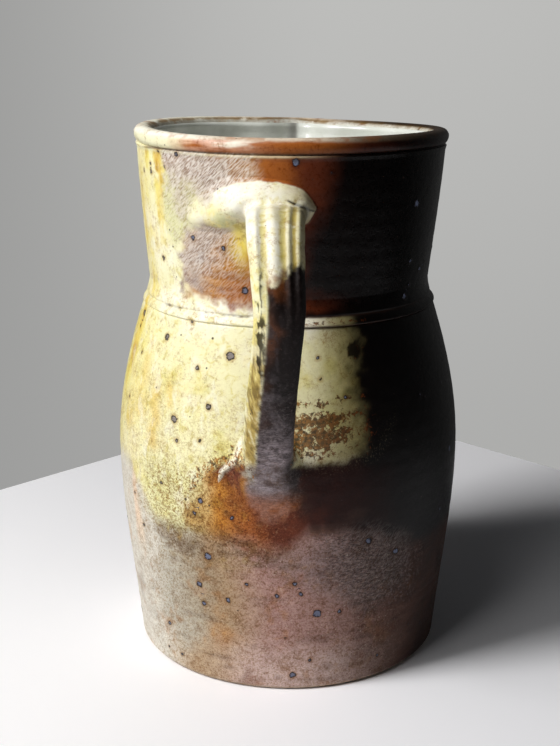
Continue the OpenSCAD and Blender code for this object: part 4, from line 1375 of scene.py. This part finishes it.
def stoneware():
    n = Nodes("wood_fired_stoneware")
    at = n.place()
    tone = n.attribute("tone")[0]
    finish, wrinkle = n.attribute("finish")
    gloss, crawl, grain = n.parts(finish)
    marks, ash = n.attribute("marks")
    lit, rusty, specks = n.parts(marks)
    spots, near = n.attribute("spots")
    across, up, radius = n.parts(spots)
    soft = n.noise(at, 7, 4, 0.55, 0.4)
    grit = n.noise(at, 1.5, 3, 0.6)
    dust = n.noise(at, 0.55, 2, 0.6)

    # Uneven colour, darker and lighter
    shade = n.plus(n.times(soft, 0.5), n.times(grit, 0.45), n.times(dust, 0.35))
    base = n.tint(n.rise(shade, 0.66, 0.44), tone, SHADE_TINT)

    # Melted ash: greenish-yellow pools and paler drops
    pools = n.rise(n.noise(at, 4.2, 5, 0.62, 0.7), 0.5, 0.68)
    base = n.tint(n.times(ash, pools, 0.55), base, POOL_TINT)
    drops = n.rise(n.noise(n.mapped(at, (1, 1, 0.6)), 6.5, 4, 0.55, 0.5), 0.54, 0.66)
    base = n.mix(n.times(ash, drops, 0.4), base, DROP)
    base = n.mix(n.times(n.rise(shade, 0.66, 0.86), 0.4), base, GLEAM, "SOFT_LIGHT")

    # Sugary grain in the thin ash
    sugar = n.noise(at, 0.85, 2, 0.7, 0.5)
    base = n.tint(n.times(grain, n.rise(sugar, 0.5, 0.38), 0.95), base, SUGAR_TINT)
    base = n.mix(n.times(grain, n.rise(sugar, 0.56, 0.68), 0.55), base, SUGAR, "SCREEN")
    clump = n.rise(n.noise(at, 2.2, 4, 0.65, 0.8), 0.5, 0.64)
    base = n.tint(n.times(grain, clump, 0.8), base, CLUMP_TINT)
    salt = n.times(n.rise(gloss, 0.56, 0.42), n.rise(n.noise(at, 0.8, 1, 0.5), 0.68, 0.74))
    base = n.mix(n.times(salt, grain, 0.5), base, SALT)

    # Crawled glaze: pale ridges leaning to the right over brown
    leaned = n.mapped(n.mapped(at, (1, 0.12, 1), (0, -DASH_LEAN, 0)), (1, 1, 1 / DASH_LENGTH))
    dash = n.noise(leaned, 0.38, 2, 0.55, 0.35)
    crawled = n.times(crawl, n.rise(dash, 0.45, 0.56))
    base = n.mix(n.times(crawled, 0.7), base, RIDGE)
    base = n.mix(n.times(crawl, n.rise(dash, 0.42, 0.34), 0.6), base, FURROW)

    # Fine dark wrinkles, mostly level
    crease = n.noise(n.mapped(at, (1, 1, 3.6)), 4.2, 5, 0.66, 0.4)
    crease = n.rise(n.math("ABSOLUTE", n.math("SUBTRACT", crease, 0.5)), 0.06, 0.01)
    crease = n.times(crease, wrinkle)
    base = n.mix(n.times(crease, 0.7), base, CREASE)
    # grey-lilac flecks among the wrinkles, partly painted glints off their ridges
    base = n.mix(n.times(n.rise(grit, 0.5, 0.66), wrinkle, 0.22), base, WRINKLE_BLOOM_AND_GLINT)

    # Rust speckle, in grains of about a millimetre
    fleck = n.plus(n.times(n.noise(at, 2.1, 5, 0.7, 0.4), 1.9), -0.45, rusty)
    flecked = n.times(n.rise(fleck, 0.92, 1.08), n.rise(rusty, 0.05, 0.2))
    rust = n.mix(n.rise(grit, 0.38, 0.62), FLECK_DARK, n.mix(lit, FLECK_SHADED, FLECK_LIT))
    base = n.mix(n.times(flecked, 0.9), base, rust)

    # Small dark specks
    speck = 0.0
    for size, most in SPECK_CELLS:
        distance, pick = n.cells(n.mapped(at, (1, 1, 1), (0.3 * size, 0, 0.2 * size)), size)
        reach = n.times(n.rise(pick, 0.35, 1), most, n.plus(specks, 0.25))
        speck = n.math("MAXIMUM", speck, n.rise(n.math("SUBTRACT", reach, distance), 0, 0.03))
    base = n.mix(n.times(speck, 0.9), base, SPECK)

    # Iron spots: a rusty halo, a dark ragged ring and a slate-grey middle
    across = n.plus(across, n.swing(n.noise(at, 2.2, 2, 0.6), 2.2))
    far = n.math("SQRT", n.plus(n.times(across, across), n.times(up, up)))
    depth = n.plus(n.math("SUBTRACT", radius, far), n.swing(grit, 1.8))
    base = n.tint(n.times(n.rise(depth, -1.3, 0.1), near, 0.5), base, HALO_TINT)
    middle = n.plus(n.rise(depth, 0.25, 1.2), n.swing(dust, 2.4))
    slate = n.mix(n.rise(middle, 0.25, 0.9), SPOT_RING, n.mix(ash, SPOT_BLUE, SPOT_GREY))
    base = n.mix(n.times(n.rise(depth, 0, 0.3), near, 0.94), base, slate)

    rough = n.plus(n.times(gloss, -0.45), 0.68, n.swing(grit, 0.3), n.times(crawled, -0.12))
    rough = n.math("MINIMUM", n.math("MAXIMUM", rough, 0.16), 0.9)
    n.shader.inputs["Specular IOR Level"].default_value = 0.18
    height = n.plus(n.times(grit, 0.5), n.times(dust, 0.3), n.times(crawled, 0.9),
                    n.times(grain, sugar, 0.9), n.times(speck, -0.4), n.times(crease, -0.8))
    return n.finish(base, rough, n.bump(height, 0.6, 0.28 * MM, n.bump(soft, 0.35, 0.4 * MM)))


def liner_glaze():
    n = Nodes("pale_liner_glaze")
    at = n.place()
    soft = n.noise(at, 16, 4, 0.5)
    grit = n.noise(at, 1.8, 3, 0.6)
    base = n.mix(n.rise(soft, 0.35, 0.65), LINER_DIM, LINER_PALE)
    base = n.mix(n.times(n.rise(grit, 0.6, 0.75), 0.3), base, LINER_GRIT)
    distance, pick = n.cells(at, 9)
    dot = n.rise(n.math("SUBTRACT", n.times(n.rise(pick, 0.3, 1), 0.11), distance), 0, 0.03)
    base = n.mix(n.times(dot, 0.9), base, LINER_SPECK)
    x, y, z = n.parts(at)
    throat = n.times(n.rise(x, -7, -1.5), n.rise(x, 1.6, -1.2), n.rise(y, 30, 55), n.rise(z, 212, 228))
    base = n.mix(n.times(throat, 0.75), base, THROAT_SHADE)
    normal = n.bump(grit, 0.25, 0.12 * MM, n.bump(soft, 0.3, 0.5 * MM))
    return n.finish(base, n.plus(n.times(grit, 0.14), 0.16), normal)


def use(piece, material, nodes):
    piece.data.materials.append(material)
    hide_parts(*nodes)
    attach(piece, "root")


clay = stoneware()
body = make_body()
paint(body, wall_paint)
use(body, clay, ("lower_body",))
collar = make_collar()
paint(collar, wall_paint)
use(collar, clay, ("neck_collar",))
handle = make_handle()
paint(handle, strap_paint)
use(handle, clay, ("strap_handle", "upper_joint_coil", "lower_joint_wad"))
liner = make_liner()
use(liner, liner_glaze(), ("liner_glaze",))


# Camera

def camera_axes():
    """(place, right, up, forward) of the camera, in millimetres"""
    ct, st = math.cos(CAMERA_TURN), math.sin(CAMERA_TURN)
    right = np.array([ct, st, 0])
    level = np.array([-st, ct, 0])
    place = -level * CAMERA_OUT - right * CAMERA_SIDE + np.array([0, 0, CAMERA_H])
    forward = level * math.cos(CAMERA_PITCH) - np.array([0, 0, math.sin(CAMERA_PITCH)])
    return place, right, np.cross(right, forward), forward


def on_floor(px, py):
    """The place on the floor, in metres, that lies at a pixel of the frame"""
    place, right, up, forward = camera_axes()
    ray = forward * FOCAL_PX + right * (px - FRAME_PX[0] / 2) - up * (py - FRAME_PX[1] / 2)
    return (place - ray * place[2] / ray[2]) * MM


def make_camera():
    data = bpy.data.cameras.new("camera")
    data.sensor_fit = "AUTO"
    data.sensor_width = SENSOR
    data.lens = FOCAL_PX * SENSOR / max(FRAME_PX)
    data.clip_end = CAMERA_FAR
    camera = bpy.data.objects.new("camera", data)
    camera.location = camera_axes()[0] * MM
    camera.rotation_euler = (math.pi / 2 - CAMERA_PITCH, 0, CAMERA_TURN)
    bpy.context.scene.collection.objects.link(camera)
    bpy.context.scene.camera = camera


# Floor, backdrop and lights, in metres

LAMP_FAR = 1.5
KEY_TURN = math.radians(-58)
KEY_RISE = math.radians(41)
KEY_SIZE = (0.45, 0.6)
KEY_POWER = 21
FILL_TURN = math.radians(-46)
FILL_RISE = math.radians(50)
FILL_SIZE = (0.9, 0.7)
FILL_POWER = 6.5
WORLD_LIGHT = 0.03
WORLD_COLOUR = (0.93, 0.96, 1, 1)
WALL_FAR = 2.2
WALL_LOW = -2.2
WALL_HIGH = 2.6
WALL_SIDES = 96
WALL_LEFT = colour(150, 150, 149)
WALL_MIDDLE = colour(190, 190, 188)
WALL_RIGHT = colour(176, 176, 174)
WALL_BELOW = colour(158, 158, 157)
WALL_UNLIT = (0.1, 0.1, 0.1)
TABLE_CORNER_PX = (311, 399)
TABLE_LEFT_PX = (0, 490)
TABLE_RIGHT_PX = (560, 470)
TABLE_REACH = 3.2
TABLE_T = 0.03
TABLE_WHITE = colour(252, 251, 253)
TABLE_ROUGH = 0.7


def plain(name, shade, roughness):
    n = Nodes(name)
    n.link(shade, n.shader.inputs["Base Color"])
    n.shader.inputs["Roughness"].default_value = roughness
    return n.material


def wall_material():
    """A grey wall, seen as a soft gradient, that gives the pot a dimmer grey to reflect from behind it"""
    n = Nodes("grey_wall")
    x, y, z = n.parts(n.add("TexCoord", {})["Object"])
    grey = n.mix(n.rise(x, -1.1, 0), WALL_LEFT, WALL_MIDDLE)
    grey = n.mix(n.times(n.rise(x, 0.1, 1.2), 0.5), grey, WALL_RIGHT)
    grey = n.mix(n.times(n.rise(z, 0.6, -0.9), 0.6), grey, WALL_BELOW)
    rays = n.add("LightPath", {})
    bounced = n.math("MAXIMUM", rays["Is Glossy Ray"], rays["Is Transmission Ray"])
    bounced = n.times(bounced, n.rise(y, 0, 1.4), 0.15)
    seen = n.math("MAXIMUM", rays["Is Camera Ray"], bounced)
    n.link(WALL_UNLIT, n.shader.inputs["Base Color"])
    glow = n.add("Emission", {"Color": grey})[0]
    n.link(n.add("MixShader", {0: seen, 1: n.shader.outputs[0], 2: glow})[0], n.output.inputs["Surface"])
    return n.material


def stage_piece(name, verts, faces, material):
    """An object of the surroundings, from points in metres"""
    mesh = bpy.data.meshes.new(name)
    mesh.from_pydata(verts, [], faces)
    mesh.update()
    piece = bpy.data.objects.new(name, mesh)
    piece.data.materials.append(material)
    bpy.context.scene.collection.objects.link(piece)
    return piece


def make_table():
    """A white table top with a corner behind the jug, as in the photograph"""
    apex = on_floor(*TABLE_CORNER_PX)
    left = lerp(apex, on_floor(*TABLE_LEFT_PX), TABLE_REACH)
    right = lerp(apex, on_floor(*TABLE_RIGHT_PX), TABLE_REACH)
    top = [apex, left, left + right - apex, right]
    verts = [tuple(v) for v in top] + [(v[0], v[1], -TABLE_T) for v in top]
    faces = [(0, 1, 2, 3), (7, 6, 5, 4), (0, 4, 5, 1), (1, 5, 6, 2), (2, 6, 7, 3), (3, 7, 4, 0)]
    table = stage_piece("table", verts, faces, plain("white_table", TABLE_WHITE, TABLE_ROUGH))


def make_wall():
    """A round grey wall, in which the camera and the lamps stand"""
    turn = np.arange(WALL_SIDES) * 2 * np.pi / WALL_SIDES
    ring = np.stack([WALL_FAR * np.sin(turn), WALL_FAR * np.cos(turn)], 1)
    verts = [(x, y, WALL_LOW) for x, y in ring] + [(x, y, WALL_HIGH) for x, y in ring]
    following = [(i, (i + 1) % WALL_SIDES) for i in range(WALL_SIDES)]
    faces = [(i, j, WALL_SIDES + j, WALL_SIDES + i) for i, j in following]
    wall = stage_piece("wall", verts, faces, wall_material())
    wall.visible_shadow = False
    wall.visible_diffuse = False


def aimed_light(name, turn, rise_angle, size, power):
    data = bpy.data.lights.new(name, "AREA")
    data.shape = "RECTANGLE"
    data.size, data.size_y = size
    data.energy = power
    light = bpy.data.objects.new(name, data)
    away = Vector((math.sin(turn) * math.cos(rise_angle), -math.cos(turn) * math.cos(rise_angle),
                   math.sin(rise_angle)))
    light.location = Vector((0, 0, JUG_H / 2 * MM)) + away * LAMP_FAR
    light.rotation_euler = away.to_track_quat("Z", "Y").to_euler()
    bpy.context.scene.collection.objects.link(light)


def make_world():
    world = bpy.data.worlds.new("soft_fill")
    bpy.context.scene.world = world
    world.use_nodes = True
    glow = world.node_tree.nodes["Background"]
    glow.inputs["Color"].default_value = WORLD_COLOUR
    glow.inputs["Strength"].default_value = WORLD_LIGHT


make_table()
make_wall()
make_camera()
make_world()
aimed_light("key", KEY_TURN, KEY_RISE, KEY_SIZE, KEY_POWER)
aimed_light("fill", FILL_TURN, FILL_RISE, FILL_SIZE, FILL_POWER)

bpy.context.scene.view_settings.view_transform = "Standard"
